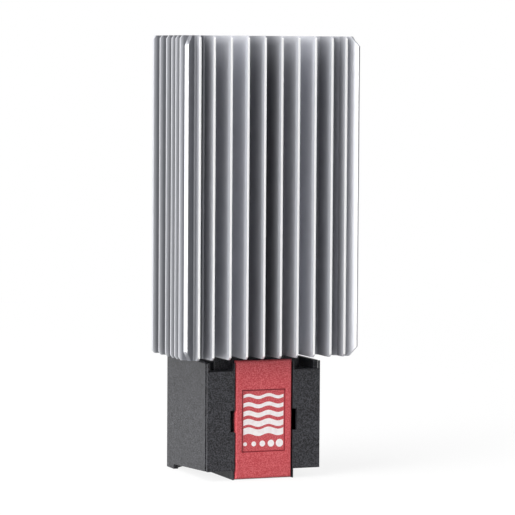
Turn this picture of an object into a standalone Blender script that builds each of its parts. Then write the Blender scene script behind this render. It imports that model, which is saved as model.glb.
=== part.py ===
"""Enclosure heater for a 35 mm mounting rail.

A finned aluminium extrusion holds three ceramic heating stones in a flat chamber. It stands on a
black moulded terminal base with a red cover in front and a one-piece rail clip behind.

Metres, +Z up, front towards -Y. The origin is the middle of the bounding box, at its lowest plane.
In this file a depth is measured backwards from the plane of the front fin tips.
"""

import math

import bmesh
import bpy
from mathutils import Matrix, Vector

# Clearances
SEAT_GAP = 0.0003
STACK_GAP = 0.0002

# Heat sink, a single extrusion
SINK_WIDTH = 0.065
SINK_LENGTH = 0.112
SINK_DEPTH = 0.0455
CORE_WIDTH = 0.0326
CORE_DEPTH = 0.017
CORE_FRONT_WALL = 0.0032
WEB_THICKNESS = 0.00133
FIN_PITCH = 0.00625
FIN_TIP = 0.00068
FIN_ROOT = 0.0013
FIN_ROOT_RADIUS = 0.0005
OUTER_FIN_INSET = 0.00537
NARROWEST_CHANNEL = 0.004
WEB_SIDE_FIN_START = 0.00595
WEB_SIDE_FIN_PITCH = 0.0042
CORE_SIDE_FIN_SETBACK = 0.0025
REAR_FLANGE = 0.0013
CHAMBER_WIDTH = 0.021
PORT_DIAMETER = 0.0029
END_CHAMFER_HEIGHT = 0.0011
END_CHAMFER_SIDE = 0.0008
FRONT_CHAMFER = 0.0014
FRONT_CHAMFER_HEIGHT = 0.001
CORNER_CHAMFER = 0.0022
CORNER_CHAMFER_HEIGHT = 0.0034

# Heating stack in the chamber
STONE_COUNT = 3
STONE_WIDTH = 0.018
STONE_LENGTH = 0.031
STONE_THICKNESS = 0.002
STONE_SPACE = 0.0015
STRIP_WIDTH = 0.017
STRIP_THICKNESS = 0.0006
SLEEVE_WALL = 0.0004
WEDGE_THICKNESS = 0.0018
WEDGE_TAPER = 0.0003
PLUG_HEIGHT = 0.0045
TAB_WIDTH = 0.0048
TAB_OFFSET = 0.005
TAB_DROP = 0.005

# Terminal base
BASE_WIDTH = 0.0423
BASE_FRONT = 0.0078
BASE_REAR = 0.05
GROOVE = 0.0012
SHELL_WALL = 0.0018
SHELL_CORNER = 0.0006
WALL_UNDERSIDE = 0.0033
REAR_UNDERSIDE = 0.0017
FRONT_WALL_TOP = 0.0383
SIDE_WALL_TOP = 0.04115
AIR_GAP = 0.00185
DECK_TOP = 0.038
DECK_THICKNESS = 0.002
COLLAR_OVERHANG = 0.002
COLLAR_WALL = 0.002
FOOT_LENGTH = 0.0076
FOOT_WIDTH = 0.0078
PILLAR_DIAMETER = 0.006
PILLAR_INSET = 0.0052

# Front carrier, with the block that houses the terminals
FRONT_WALL = 0.0016
CARRIER_EDGE = 0.0009
FLANGE_LENGTH = 0.005
FLANGE_WALL = 0.0014
BLOCK_WIDTH = 0.0228
BLOCK_LENGTH = 0.027
BLOCK_TOP = 0.032
BLOCK_WALL = 0.0015
BLOCK_RIM = 0.0005
POST_DEPTH = 0.0031
FLOOR_THICKNESS = 0.0015
FLOOR_RECESS = 0.0007
NOTCH_WIDTH = 0.0011
RECESS_LIP = 0.0005
NOTCH_HEIGHT = 0.0076
NOTCH_MIDDLE = 0.0207
ENTRY_WIDTH = 0.013
ENTRY_DEPTH = 0.0105
ENTRY_FRONT = 0.0125
GROMMET_WALL = 0.0012
GROMMET_LIP = 0.0009

# Cover
COVER_GAP = 0.00035
COVER_THICKNESS = 0.0017
COVER_TOP = 0.0419
COVER_BOTTOM = 0.0003
COVER_BEVEL = 0.0007
COVER_LIP = 0.0014
PANEL_WIDTH = 0.0164
PANEL_HEIGHT = 0.022
PANEL_BOTTOM = 0.0096
PANEL_RECESS = 0.0005
ARM_THICKNESS = 0.001
ARM_HEIGHT = 0.006
ARM_LENGTH = 0.0025
ARM_HOOK = 0.0009
LATCH_SETBACK = 0.0007

# Terminals
POLES = ("live", "earth", "neutral")
POLE_PITCH = 0.0062
TERMINAL_FRONT = 0.0123
TERMINAL_DEPTH = 0.0127
TERMINAL_BOTTOM = 0.0145
POCKET_WIDTH = 0.0048
POCKET_DEPTH = 0.0095
POCKET_MARGIN = 0.0018
FUNNEL_DIAMETER = 0.0038
CLAMP_WIDTH = 0.0038
CLAMP_SHEET = 0.0008
SPRING_SHEET = 0.0004
CLAMP_LUG = 0.0021
LEAD_DIAMETER = 0.0017

# Fasteners
SINK_SCREW_SHANK = 0.0022
SINK_SCREW_GRIP = 0.012
SINK_SCREW_HEAD = 0.0058
SMALL_SCREW_SHANK = 0.0019
SMALL_SCREW_HEAD = 0.005
SCREW_HEAD_HEIGHT = 0.0019
WASHER_THICKNESS = 0.0006
LUG_THICKNESS = 0.0008
LUG_RADIUS = 0.0033

# Rail clip
RAIL_HEIGHT = 0.035
RAIL_PLAY = 0.0005
RAIL_SLOT = 0.0012
CLIP_WIDTH = 0.03
CLIP_PLATE = 0.002
HOOK_LIP = 0.0015
HOOK_REACH = 0.0018
HOOK_HEIGHT = 0.0025
RAIL_BOTTOM = 0.006
TONGUE_WIDTH = 0.0145
TONGUE_SLIT = 0.0009
TONGUE_LENGTH = 0.0175
CLIP_SCREW_SPACING = 0.016
CLIP_SCREW_DROP = 0.0045

# Sizes that follow from the ones above
TOTAL_DEPTH = BASE_REAR + SEAT_GAP + CLIP_PLATE + RAIL_SLOT + HOOK_LIP
FRONT_Y = -TOTAL_DEPTH / 2
SINK_BOTTOM = SIDE_WALL_TOP + AIR_GAP
SINK_TOP = SINK_BOTTOM + SINK_LENGTH
WEB_LEG = WEB_THICKNESS / math.sqrt(2)
WEB_FRONT_LINE = SINK_WIDTH / 2 - WEB_LEG
WEB_REAR_LINE = SINK_WIDTH / 2 + WEB_LEG
CORE_FRONT = WEB_REAR_LINE - CORE_WIDTH / 2
CORE_REAR = CORE_FRONT + CORE_DEPTH
STACK_DEPTH = STONE_THICKNESS + 2 * (STRIP_THICKNESS + SLEEVE_WALL) + WEDGE_THICKNESS
CHAMBER_FRONT = CORE_FRONT + CORE_FRONT_WALL
CHAMBER_DEPTH = STACK_DEPTH + 7 * STACK_GAP
CHAMBER_REAR = CHAMBER_FRONT + CHAMBER_DEPTH
PORT_X = (CORE_WIDTH + CHAMBER_WIDTH) / 4
PORT_MIDDLE = (CHAMBER_FRONT + CHAMBER_REAR) / 2
EARTH_PORT = (CHAMBER_REAR + CORE_REAR) / 2
SLEEVE_FRONT = CHAMBER_FRONT + STACK_GAP
FRONT_STRIP = SLEEVE_FRONT + SLEEVE_WALL + STACK_GAP
STONE_FRONT = FRONT_STRIP + STRIP_THICKNESS + STACK_GAP
REAR_STRIP = STONE_FRONT + STONE_THICKNESS + STACK_GAP
SLEEVE_REAR = REAR_STRIP + STRIP_THICKNESS + STACK_GAP + SLEEVE_WALL
WEDGE_FRONT = SLEEVE_REAR + STACK_GAP
STACK_BOTTOM = SINK_BOTTOM + SEAT_GAP + PLUG_HEIGHT + SEAT_GAP
STACK_TOP = SINK_TOP - 2 * SEAT_GAP - PLUG_HEIGHT
STONES_LENGTH = STONE_COUNT * STONE_LENGTH + (STONE_COUNT - 1) * STONE_SPACE
STONES_BOTTOM = (STACK_BOTTOM + STACK_TOP - STONES_LENGTH) / 2
TAB_BOTTOM = SINK_BOTTOM - TAB_DROP
SHELL_HALF = BASE_WIDTH / 2
SHELL_INNER = SHELL_HALF - SHELL_WALL
SHELL_FRONT = BASE_FRONT + CARRIER_EDGE + GROOVE
DECK_BOTTOM = DECK_TOP - DECK_THICKNESS
DECK_FRONT = BASE_FRONT + POST_DEPTH + SEAT_GAP
CLIP_SCREW_HEIGHT = DECK_BOTTOM - CLIP_SCREW_DROP
COLLAR_TOP = SINK_BOTTOM - SEAT_GAP
COLLAR_FRONT = CORE_FRONT - COLLAR_OVERHANG
COLLAR_REAR = CORE_REAR + COLLAR_OVERHANG
FLOOR_BOTTOM = WALL_UNDERSIDE + FLOOR_RECESS
FLOOR_TOP = FLOOR_BOTTOM + FLOOR_THICKNESS
BLOCK_HALF = BLOCK_WIDTH / 2
BLOCK_INNER = BLOCK_HALF - BLOCK_WALL
BLOCK_REAR = BASE_FRONT + BLOCK_LENGTH
COVER_HALF = BLOCK_HALF - BLOCK_RIM - COVER_GAP
COVER_REAR = BASE_FRONT + COVER_THICKNESS
TERMINAL_HALF = BLOCK_INNER - SEAT_GAP
TERMINAL_REAR = TERMINAL_FRONT + TERMINAL_DEPTH
TERMINAL_TOP = BLOCK_TOP - BLOCK_WALL - SEAT_GAP
PILLAR_X = SHELL_INNER - PILLAR_INSET
PILLAR_DEPTH = BASE_REAR - SHELL_WALL - PILLAR_INSET
CLIP_FRONT = BASE_REAR + SEAT_GAP
CLIP_REAR = CLIP_FRONT + CLIP_PLATE
RAIL_TOP = RAIL_BOTTOM + RAIL_HEIGHT + RAIL_PLAY

MILLIMETRE = 0.001
AXES = {
    "X": Matrix(((0, 0, 1), (1, 0, 0), (0, 1, 0))).to_4x4(),
    "Y": Matrix(((1, 0, 0), (0, 0, -1), (0, 1, 0))).to_4x4(),
    "Z": Matrix.Identity(4),
}


def clear_scene():
    """Remove every object, so that the script can be run again."""
    for thing in list(bpy.data.objects):
        bpy.data.objects.remove(thing, do_unlink=True)


def new_collection(name):
    """Make a collection in the scene and return it."""
    collection = bpy.data.collections.new(name)
    bpy.context.scene.collection.children.link(collection)
    return collection


def material(name, colour, roughness, metallic=0.0):
    """Return a plain Principled material."""
    made = bpy.data.materials.new(name)
    made.use_nodes = True
    shader = made.node_tree.nodes["Principled BSDF"]
    shader.inputs["Base Color"].default_value = (*colour, 1.0)
    shader.inputs["Roughness"].default_value = roughness
    shader.inputs["Metallic"].default_value = metallic
    return made


def mesh_object(name, mesh, finish=None):
    """Put a mesh in the object's own collection, with its finish."""
    made = bpy.data.objects.new(name, mesh)
    PARTS.objects.link(made)
    if finish:
        mesh.materials.append(finish)
    return made


def box(name, x, depth, z, finish=None):
    """A box between two values of X, of depth behind the fin tips, and of height."""
    mesh = bpy.data.meshes.new(name)
    solid = bmesh.new()
    size = Vector((x[1] - x[0], depth[1] - depth[0], z[1] - z[0]))
    bmesh.ops.create_cube(solid, size=1.0, matrix=Matrix.Diagonal(size.to_4d()))
    solid.to_mesh(mesh)
    solid.free()
    made = mesh_object(name, mesh, finish)
    made.location = (sum(x) / 2, FRONT_Y + sum(depth) / 2, sum(z) / 2)
    return made


def cylinder(name, diameter, centre, span, axis="Z", finish=None, sides=24):
    """A round bar along an axis, centred on two coordinates, from one end of its span to the other."""
    mesh = bpy.data.meshes.new(name)
    solid = bmesh.new()
    bmesh.ops.create_cone(solid, cap_ends=True, segments=sides, radius1=diameter / 2,
                          radius2=diameter / 2, depth=span[1] - span[0])
    solid.to_mesh(mesh)
    solid.free()
    made = mesh_object(name, mesh, finish)
    middle = sum(span) / 2
    places = {"X": (middle, *centre), "Y": (centre[0], middle, centre[1]), "Z": (*centre, middle)}
    made.matrix_world = Matrix.Translation(places[axis]) @ AXES[axis]
    return made


def prism(name, outline, span, axis="Z", finish=None):
    """Extrude a closed outline along an axis."""
    mesh = bpy.data.meshes.new(name)
    solid = bmesh.new()
    half = (span[1] - span[0]) / 2
    low = [solid.verts.new((a, b, -half)) for a, b in outline]
    high = [solid.verts.new((a, b, half)) for a, b in outline]
    for index in range(len(outline)):
        following = (index + 1) % len(outline)
        solid.faces.new((low[index], low[following], high[following], high[index]))
    solid.faces.new(low)
    solid.faces.new(high)
    bmesh.ops.recalc_face_normals(solid, faces=solid.faces)
    solid.to_mesh(mesh)
    solid.free()
    made = mesh_object(name, mesh, finish)
    middle = sum(span) / 2
    places = {"X": (middle, 0.0, 0.0), "Y": (0.0, middle, 0.0), "Z": (0.0, 0.0, middle)}
    made.matrix_world = Matrix.Translation(places[axis]) @ AXES[axis]
    return made


def wire(name, points, diameter, finish):
    """A round lead through points, drawn in millimetres as a curve with filled caps."""
    curve = bpy.data.curves.new(name, "CURVE")
    curve.dimensions = "3D"
    curve.bevel_depth = diameter / 2 / MILLIMETRE
    curve.bevel_resolution = 2
    curve.use_fill_caps = True
    spline = curve.splines.new("POLY")
    spline.points.add(len(points) - 1)
    for point, place in zip(spline.points, points):
        point.co = (*(Vector(place) / MILLIMETRE), 1.0)
    drawn = bpy.data.objects.new(name, curve)
    PARTS.objects.link(drawn)
    bpy.context.view_layer.update()
    depsgraph = bpy.context.evaluated_depsgraph_get()
    mesh = bpy.data.meshes.new_from_object(drawn.evaluated_get(depsgraph))
    bpy.data.objects.remove(drawn, do_unlink=True)
    welded = bmesh.new()
    welded.from_mesh(mesh)
    bmesh.ops.remove_doubles(welded, verts=welded.verts, dist=0.001)
    bmesh.ops.scale(welded, vec=(MILLIMETRE, MILLIMETRE, MILLIMETRE), verts=welded.verts)
    welded.to_mesh(mesh)
    welded.free()
    mesh.materials.clear()
    made = mesh_object(name, mesh, finish)
    smooth(made)
    return made


def turned(name, profile, place, finish, steps=20):
    """Turn a profile of (radius, height) about Z, then set it on its place."""
    mesh = bpy.data.meshes.new(name)
    mesh.from_pydata([(r, 0.0, h) for r, h in profile], [(i, i + 1) for i in range(len(profile) - 1)], [])
    made = mesh_object(name, mesh, finish)
    turn = made.modifiers.new("turn", "SCREW")
    turn.axis = "Z"
    turn.steps = steps
    turn.render_steps = steps
    turn.use_merge_vertices = True
    turn.merge_threshold = 0.00001
    turn.use_smooth_shade = False
    made.matrix_world = place
    return made


def combine(target, tool, operation):
    """Cut, join or intersect a piece with a tool, which becomes a hidden wire shape."""
    step = target.modifiers.new(operation.lower() + " " + tool.name, "BOOLEAN")
    step.operation = operation
    step.solver = "EXACT"
    step.object = tool
    for collection in list(tool.users_collection):
        collection.objects.unlink(tool)
    CUTTERS.objects.link(tool)
    tool.hide_render = True
    tool.display_type = "WIRE"


def cut(target, *tools):
    """Cut each tool out of a piece."""
    for tool in tools:
        combine(target, tool, "DIFFERENCE")


def join(target, *tools):
    """Join each tool to a piece."""
    for tool in tools:
        combine(target, tool, "UNION")


def smooth(made, degrees=35):
    """Shade a round piece smooth, with its edges kept."""
    made.data.shade_smooth()
    made.data.set_sharp_from_angle(angle=math.radians(degrees))


def round_edges(made, width, segments=1, degrees=40):
    """Break a moulded piece's edges."""
    bevel = made.modifiers.new("edges", "BEVEL")
    bevel.width = width
    bevel.segments = segments
    bevel.limit_method = "ANGLE"
    bevel.angle_limit = math.radians(degrees)
    bevel.use_clamp_overlap = True


def arc(centre, radius, start, end, steps):
    """Points along an arc, angles in degrees."""
    turns = [math.radians(start + (end - start) * i / steps) for i in range(steps + 1)]
    return [(centre[0] + radius * math.cos(t), centre[1] + radius * math.sin(t)) for t in turns]


def mirrored(half):
    """Close a right-hand half outline with its mirror image."""
    return half + [(-x, y) for x, y in reversed(half)]


def rounded(corners, steps=3):
    """Turn (x, y, radius) corners into an outline with arcs of the given radius."""
    outline = []
    for index, (x, y, radius) in enumerate(corners):
        here = Vector((x, y))
        before = Vector(corners[index - 1][:2]) - here
        after = Vector(corners[(index + 1) % len(corners)][:2]) - here
        half = before.angle(after, math.pi) / 2
        if radius <= 0.0 or half > math.radians(85):
            outline.append((x, y))
            continue
        reach = min(radius / math.tan(half), 0.45 * before.length, 0.45 * after.length)
        true_radius = reach * math.tan(half)
        first = before.normalized() * reach
        last = after.normalized() * reach
        middle = (before.normalized() + after.normalized()).normalized() * (true_radius / math.sin(half))
        for step in range(steps + 1):
            swing = (first - middle).lerp(last - middle, step / steps).normalized() * true_radius
            outline.append(tuple(here + middle + swing))
    return outline


def front_fins():
    """X of the front fins on the right-hand half, from the middle outwards."""
    outer = SINK_WIDTH / 2 - OUTER_FIN_INSET
    count = int((outer - NARROWEST_CHANNEL) / FIN_PITCH + 0.5)
    return [(index + 0.5) * FIN_PITCH for index in range(count)] + [outer]


def side_fins():
    """Depth and root X of the side fins: those on the corner web, then those on the core."""
    fins = []
    depth = WEB_SIDE_FIN_START
    while depth + FIN_ROOT + FIN_ROOT_RADIUS < CORE_FRONT:
        fins.append(depth)
        depth += WEB_SIDE_FIN_PITCH
    first = CORE_FRONT + CORE_SIDE_FIN_SETBACK
    flange = CORE_REAR - REAR_FLANGE / 2
    return fins + [first, (first + flange) / 2]


def channel_floor(x):
    """Depth at which a front fin at X meets the core or the corner web."""
    return min(CORE_FRONT, WEB_FRONT_LINE - x)


def side_root(depth):
    """X at which a side fin at a depth meets the corner web or the core."""
    return max(CORE_WIDTH / 2, WEB_REAR_LINE - depth)


def sink_half_outline():
    """Right-hand half of the extrusion's section, as (x, depth, radius) corners, front to rear."""
    tip = FIN_TIP / 2
    root = FIN_ROOT / 2
    half = []
    fins = front_fins()
    bend = WEB_FRONT_LINE - CORE_FRONT
    for index, x in enumerate(fins):
        half.append((x - root, channel_floor(x - root), FIN_ROOT_RADIUS))
        half.append((x - tip, 0.0, 0.0))
        half.append((x + tip, 0.0, 0.0))
        half.append((x + root, channel_floor(x + root), FIN_ROOT_RADIUS))
        following = fins[index + 1] if index + 1 < len(fins) else SINK_WIDTH / 2
        if x + root < bend < following - root:
            half.append((bend, CORE_FRONT, 0.0))
    half.append((WEB_FRONT_LINE, 0.0, 0.0))
    half.append((SINK_WIDTH / 2, WEB_LEG, 0.0))
    edge = SINK_WIDTH / 2
    before_core = True
    for depth in side_fins():
        if before_core and depth > CORE_FRONT:
            half.append((CORE_WIDTH / 2, CORE_FRONT, 0.0))
            before_core = False
        half.append((side_root(depth - root), depth - root, FIN_ROOT_RADIUS))
        half.append((edge, depth - tip, 0.0))
        half.append((edge, depth + tip, 0.0))
        half.append((side_root(depth + root), depth + root, FIN_ROOT_RADIUS))
    half.append((CORE_WIDTH / 2, CORE_REAR - REAR_FLANGE, FIN_ROOT_RADIUS))
    half.append((edge, CORE_REAR - REAR_FLANGE, 0.0))
    half.append((edge, CORE_REAR, 0.0))
    for x in reversed(fins):
        half.append((x + root, CORE_REAR, FIN_ROOT_RADIUS))
        half.append((x + tip, SINK_DEPTH, 0.0))
        half.append((x - tip, SINK_DEPTH, 0.0))
        half.append((x - root, CORE_REAR, FIN_ROOT_RADIUS))
    return half


def sink_blank():
    """A block a little larger than the extrusion, cut square at its ends and bevelled by planes."""
    solid = bmesh.new()
    margin = END_CHAMFER_SIDE
    low = Vector((-SINK_WIDTH / 2 - margin, FRONT_Y - margin, SINK_BOTTOM))
    high = Vector((SINK_WIDTH / 2 + margin, FRONT_Y + SINK_DEPTH + margin, SINK_TOP))
    block = Matrix.Translation((low + high) / 2) @ Matrix.Diagonal((high - low).to_4d())
    bmesh.ops.create_cube(solid, size=1.0, matrix=block)
    for end, up in ((SINK_BOTTOM, -1), (SINK_TOP, 1)):
        cuts = [(Vector((0, FRONT_Y + FRONT_CHAMFER, end)), Vector((0, -FRONT_CHAMFER_HEIGHT, up * FRONT_CHAMFER)))]
        for side in (-1, 1):
            edge = Vector((side * (SINK_WIDTH / 2 - END_CHAMFER_SIDE), 0, end))
            cuts.append((edge, Vector((side * END_CHAMFER_HEIGHT, 0, up * END_CHAMFER_SIDE))))
            corner = Vector((side * WEB_FRONT_LINE, FRONT_Y, end)) + Vector((-side, 1, 0)) * CORNER_CHAMFER
            outwards = Vector((side, -1, 0)).normalized() * CORNER_CHAMFER_HEIGHT
            cuts.append((corner, outwards + Vector((0, 0, up * CORNER_CHAMFER * math.sqrt(2)))))
        for point, normal in cuts:
            everything = solid.verts[:] + solid.edges[:] + solid.faces[:]
            halves = bmesh.ops.bisect_plane(solid, geom=everything, plane_co=point, plane_no=normal,
                                            clear_outer=True)
            rim = [part for part in halves["geom_cut"] if isinstance(part, bmesh.types.BMEdge)]
            bmesh.ops.edgeloop_fill(solid, edges=rim)
    bmesh.ops.recalc_face_normals(solid, faces=solid.faces)
    mesh = bpy.data.meshes.new("sink_blank")
    solid.to_mesh(mesh)
    solid.free()
    return mesh_object("sink_blank", mesh)


def at_depth(outline):
    """Move an outline of (x, depth) points to world X and Y."""
    return [(x, FRONT_Y + depth) for x, depth in outline]


def make_heat_sink():
    """Extrude the finned section with its chamber and screw ports, and trim its ends."""
    half = sink_half_outline()
    whole = half + [(-x, depth, radius) for x, depth, radius in reversed(half)]
    beyond = (SINK_BOTTOM - END_CHAMFER_HEIGHT, SINK_TOP + END_CHAMFER_HEIGHT)
    sink = prism("heat_sink", at_depth(rounded(whole)), beyond, finish=ALUMINIUM)
    cut(sink, box("chamber", (-CHAMBER_WIDTH / 2, CHAMBER_WIDTH / 2), (CHAMBER_FRONT, CHAMBER_REAR),
                  (SINK_BOTTOM - SINK_LENGTH, SINK_TOP + SINK_LENGTH)))
    for x, depth in ((PORT_X, PORT_MIDDLE), (-PORT_X, PORT_MIDDLE), (0.0, EARTH_PORT)):
        cut(sink, cylinder("screw_port", PORT_DIAMETER, (x, FRONT_Y + depth),
                           (SINK_BOTTOM - SINK_LENGTH, SINK_TOP + SINK_LENGTH), sides=16))
    combine(sink, sink_blank(), "INTERSECT")


def make_stack():
    """Stones, contact strips, insulating sleeve and wedge, in the chamber."""
    for number in range(STONE_COUNT):
        bottom = STONES_BOTTOM + number * (STONE_LENGTH + STONE_SPACE)
        box(f"ptc_stone_{number + 1}", (-STONE_WIDTH / 2, STONE_WIDTH / 2),
            (STONE_FRONT, STONE_FRONT + STONE_THICKNESS), (bottom, bottom + STONE_LENGTH), CERAMIC)
    strips = (("contact_strip_front", FRONT_STRIP, -TAB_OFFSET),
              ("contact_strip_rear", REAR_STRIP, TAB_OFFSET))
    for name, front, tab in strips:
        outline = [
            (-STRIP_WIDTH / 2, STACK_BOTTOM), (tab - TAB_WIDTH / 2, STACK_BOTTOM),
            (tab - TAB_WIDTH / 2, TAB_BOTTOM + TAB_WIDTH / 4), (tab - TAB_WIDTH / 4, TAB_BOTTOM),
            (tab + TAB_WIDTH / 4, TAB_BOTTOM), (tab + TAB_WIDTH / 2, TAB_BOTTOM + TAB_WIDTH / 4),
            (tab + TAB_WIDTH / 2, STACK_BOTTOM), (STRIP_WIDTH / 2, STACK_BOTTOM),
            (STRIP_WIDTH / 2, STACK_TOP), (-STRIP_WIDTH / 2, STACK_TOP),
        ]
        prism(name, outline, (FRONT_Y + front, FRONT_Y + front + STRIP_THICKNESS), "Y", BRASS)
    outer = CHAMBER_WIDTH / 2 - STACK_GAP
    inner = outer - SLEEVE_WALL
    sleeve = box("insulating_sleeve", (-outer, outer), (SLEEVE_FRONT, SLEEVE_REAR), (STACK_BOTTOM, STACK_TOP),
                 FILM)
    cut(sleeve, box("sleeve_bore", (-inner, inner), (SLEEVE_FRONT + SLEEVE_WALL, SLEEVE_REAR - SLEEVE_WALL),
                    (STACK_BOTTOM - PLUG_HEIGHT, STACK_TOP + PLUG_HEIGHT)))
    start = FRONT_Y + WEDGE_FRONT
    side = [(start, STACK_BOTTOM), (start + WEDGE_THICKNESS - WEDGE_TAPER, STACK_BOTTOM),
            (start + WEDGE_THICKNESS, STACK_TOP), (start, STACK_TOP)]
    prism("clamping_wedge", side, (-outer, outer), "X", ALUMINIUM_PLAIN)


def make_plugs():
    """Silicone plugs that close the chamber's ends; the lower one lets the two tabs through."""
    x = (-CHAMBER_WIDTH / 2 + SEAT_GAP, CHAMBER_WIDTH / 2 - SEAT_GAP)
    depth = (CHAMBER_FRONT + SEAT_GAP, CHAMBER_REAR - SEAT_GAP)
    bottom = SINK_BOTTOM + SEAT_GAP
    lower = box("chamber_plug_bottom", x, depth, (bottom, bottom + PLUG_HEIGHT), SILICONE)
    for tab, front in ((-TAB_OFFSET, FRONT_STRIP), (TAB_OFFSET, REAR_STRIP)):
        reach = TAB_WIDTH / 2 + SEAT_GAP
        slot = box("tab_slot", (tab - reach, tab + reach),
                   (front - SEAT_GAP, front + STRIP_THICKNESS + SEAT_GAP),
                   (bottom - PLUG_HEIGHT, bottom + 2 * PLUG_HEIGHT))
        cut(lower, slot)
    top = SINK_TOP - SEAT_GAP
    box("chamber_plug_top", x, depth, (top - PLUG_HEIGHT, top), SILICONE)


def make_base_shell():
    """Side walls, rear wall, deck and collar of the base, with its rear feet and screw pillars."""
    plan = rounded([
        (SHELL_HALF, SHELL_FRONT, 0.0), (SHELL_HALF, BASE_REAR, SHELL_CORNER),
        (-SHELL_HALF, BASE_REAR, SHELL_CORNER), (-SHELL_HALF, SHELL_FRONT, 0.0),
        (-SHELL_INNER, SHELL_FRONT, 0.0), (-SHELL_INNER, BASE_REAR - SHELL_WALL, 0.0),
        (SHELL_INNER, BASE_REAR - SHELL_WALL, 0.0), (SHELL_INNER, SHELL_FRONT, 0.0),
    ])
    below = -SHELL_WALL
    shell = prism("base_shell", at_depth(plan), (below, SIDE_WALL_TOP), finish=BLACK)
    bite = SHELL_WALL / 2
    beside_flange = SHELL_INNER - FLANGE_WALL - 2 * SEAT_GAP
    behind_flange = BASE_FRONT + FRONT_WALL + FLANGE_LENGTH + SEAT_GAP
    deck_half = [(beside_flange, DECK_FRONT), (beside_flange, behind_flange),
                 (SHELL_INNER + bite, behind_flange), (SHELL_INNER + bite, BASE_REAR - bite)]
    deck = prism("deck", at_depth(mirrored(deck_half)), (DECK_BOTTOM, DECK_TOP))
    collar = box("collar", (-CORE_WIDTH / 2, CORE_WIDTH / 2), (COLLAR_FRONT, COLLAR_REAR),
                 (DECK_TOP - DECK_THICKNESS / 2, COLLAR_TOP))
    round_edges(collar, COLLAR_WALL / 2, 2)
    join(shell, deck, collar)
    foot = [(SHELL_HALF - SEAT_GAP, BASE_REAR - FOOT_LENGTH + SEAT_GAP),
            (SHELL_HALF - SEAT_GAP, BASE_REAR - SHELL_CORNER), (SHELL_HALF - SHELL_CORNER, BASE_REAR - SEAT_GAP),
            (SHELL_HALF - FOOT_WIDTH + SEAT_GAP, BASE_REAR - SEAT_GAP)]
    left_foot = [(-x, depth) for x, depth in foot]
    foot_top = FLOOR_BOTTOM - SEAT_GAP
    join(shell, prism("foot_right", at_depth(foot), (below, foot_top)),
         prism("foot_left", at_depth(left_foot), (below, foot_top)))
    foot_front = BASE_REAR - FOOT_LENGTH
    between = SHELL_HALF - FOOT_WIDTH
    undercut = [(0.0, 2 * below), (foot_front, 2 * below), (foot_front, REAR_UNDERSIDE),
                (SHELL_FRONT, WALL_UNDERSIDE), (0.0, WALL_UNDERSIDE)]
    cut(shell, prism("underside", [(FRONT_Y + depth, z) for depth, z in undercut], (-BASE_WIDTH, BASE_WIDTH), "X"),
        box("between_feet", (-between, between), (foot_front - bite, TOTAL_DEPTH), (2 * below, REAR_UNDERSIDE)),
        box("ground", (-BASE_WIDTH, BASE_WIDTH), (bite, TOTAL_DEPTH + bite), (3 * below, 0.0)))
    window = box("lead_window", (-BLOCK_INNER, BLOCK_INNER),
                 (CHAMBER_FRONT - COLLAR_WALL, COLLAR_REAR - COLLAR_WALL),
                 (DECK_BOTTOM - DECK_THICKNESS, COLLAR_TOP + DECK_THICKNESS))
    cut(shell, window)
    for side in (-1, 1):
        centre = (side * PILLAR_X, FRONT_Y + PILLAR_DEPTH)
        join(shell, cylinder("pillar", PILLAR_DIAMETER, centre,
                             (FLOOR_TOP + SEAT_GAP, DECK_BOTTOM + DECK_THICKNESS / 2)))
        bore = SMALL_SCREW_SHANK + 2 * SEAT_GAP
        cut(shell, cylinder("pillar_bore", bore, centre, (0.0, DECK_BOTTOM - DECK_THICKNESS), sides=16))
        clear = SINK_SCREW_SHANK + 3 * SEAT_GAP
        cut(shell, cylinder("sink_screw_hole", clear, (side * PORT_X, FRONT_Y + PORT_MIDDLE),
                            (DECK_BOTTOM - DECK_THICKNESS, COLLAR_TOP + DECK_THICKNESS), sides=16))
        place = (side * CLIP_SCREW_SPACING / 2, CLIP_SCREW_HEIGHT)
        wall = FRONT_Y + BASE_REAR
        join(shell, cylinder("clip_boss", PILLAR_DIAMETER, place,
                             (wall - 2 * SHELL_WALL, wall - SHELL_WALL / 2), "Y"))
        cut(shell, cylinder("clip_screw_hole", bore, place, (wall - 3 * SHELL_WALL, wall + SHELL_WALL),
                            "Y", sides=16))


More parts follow.
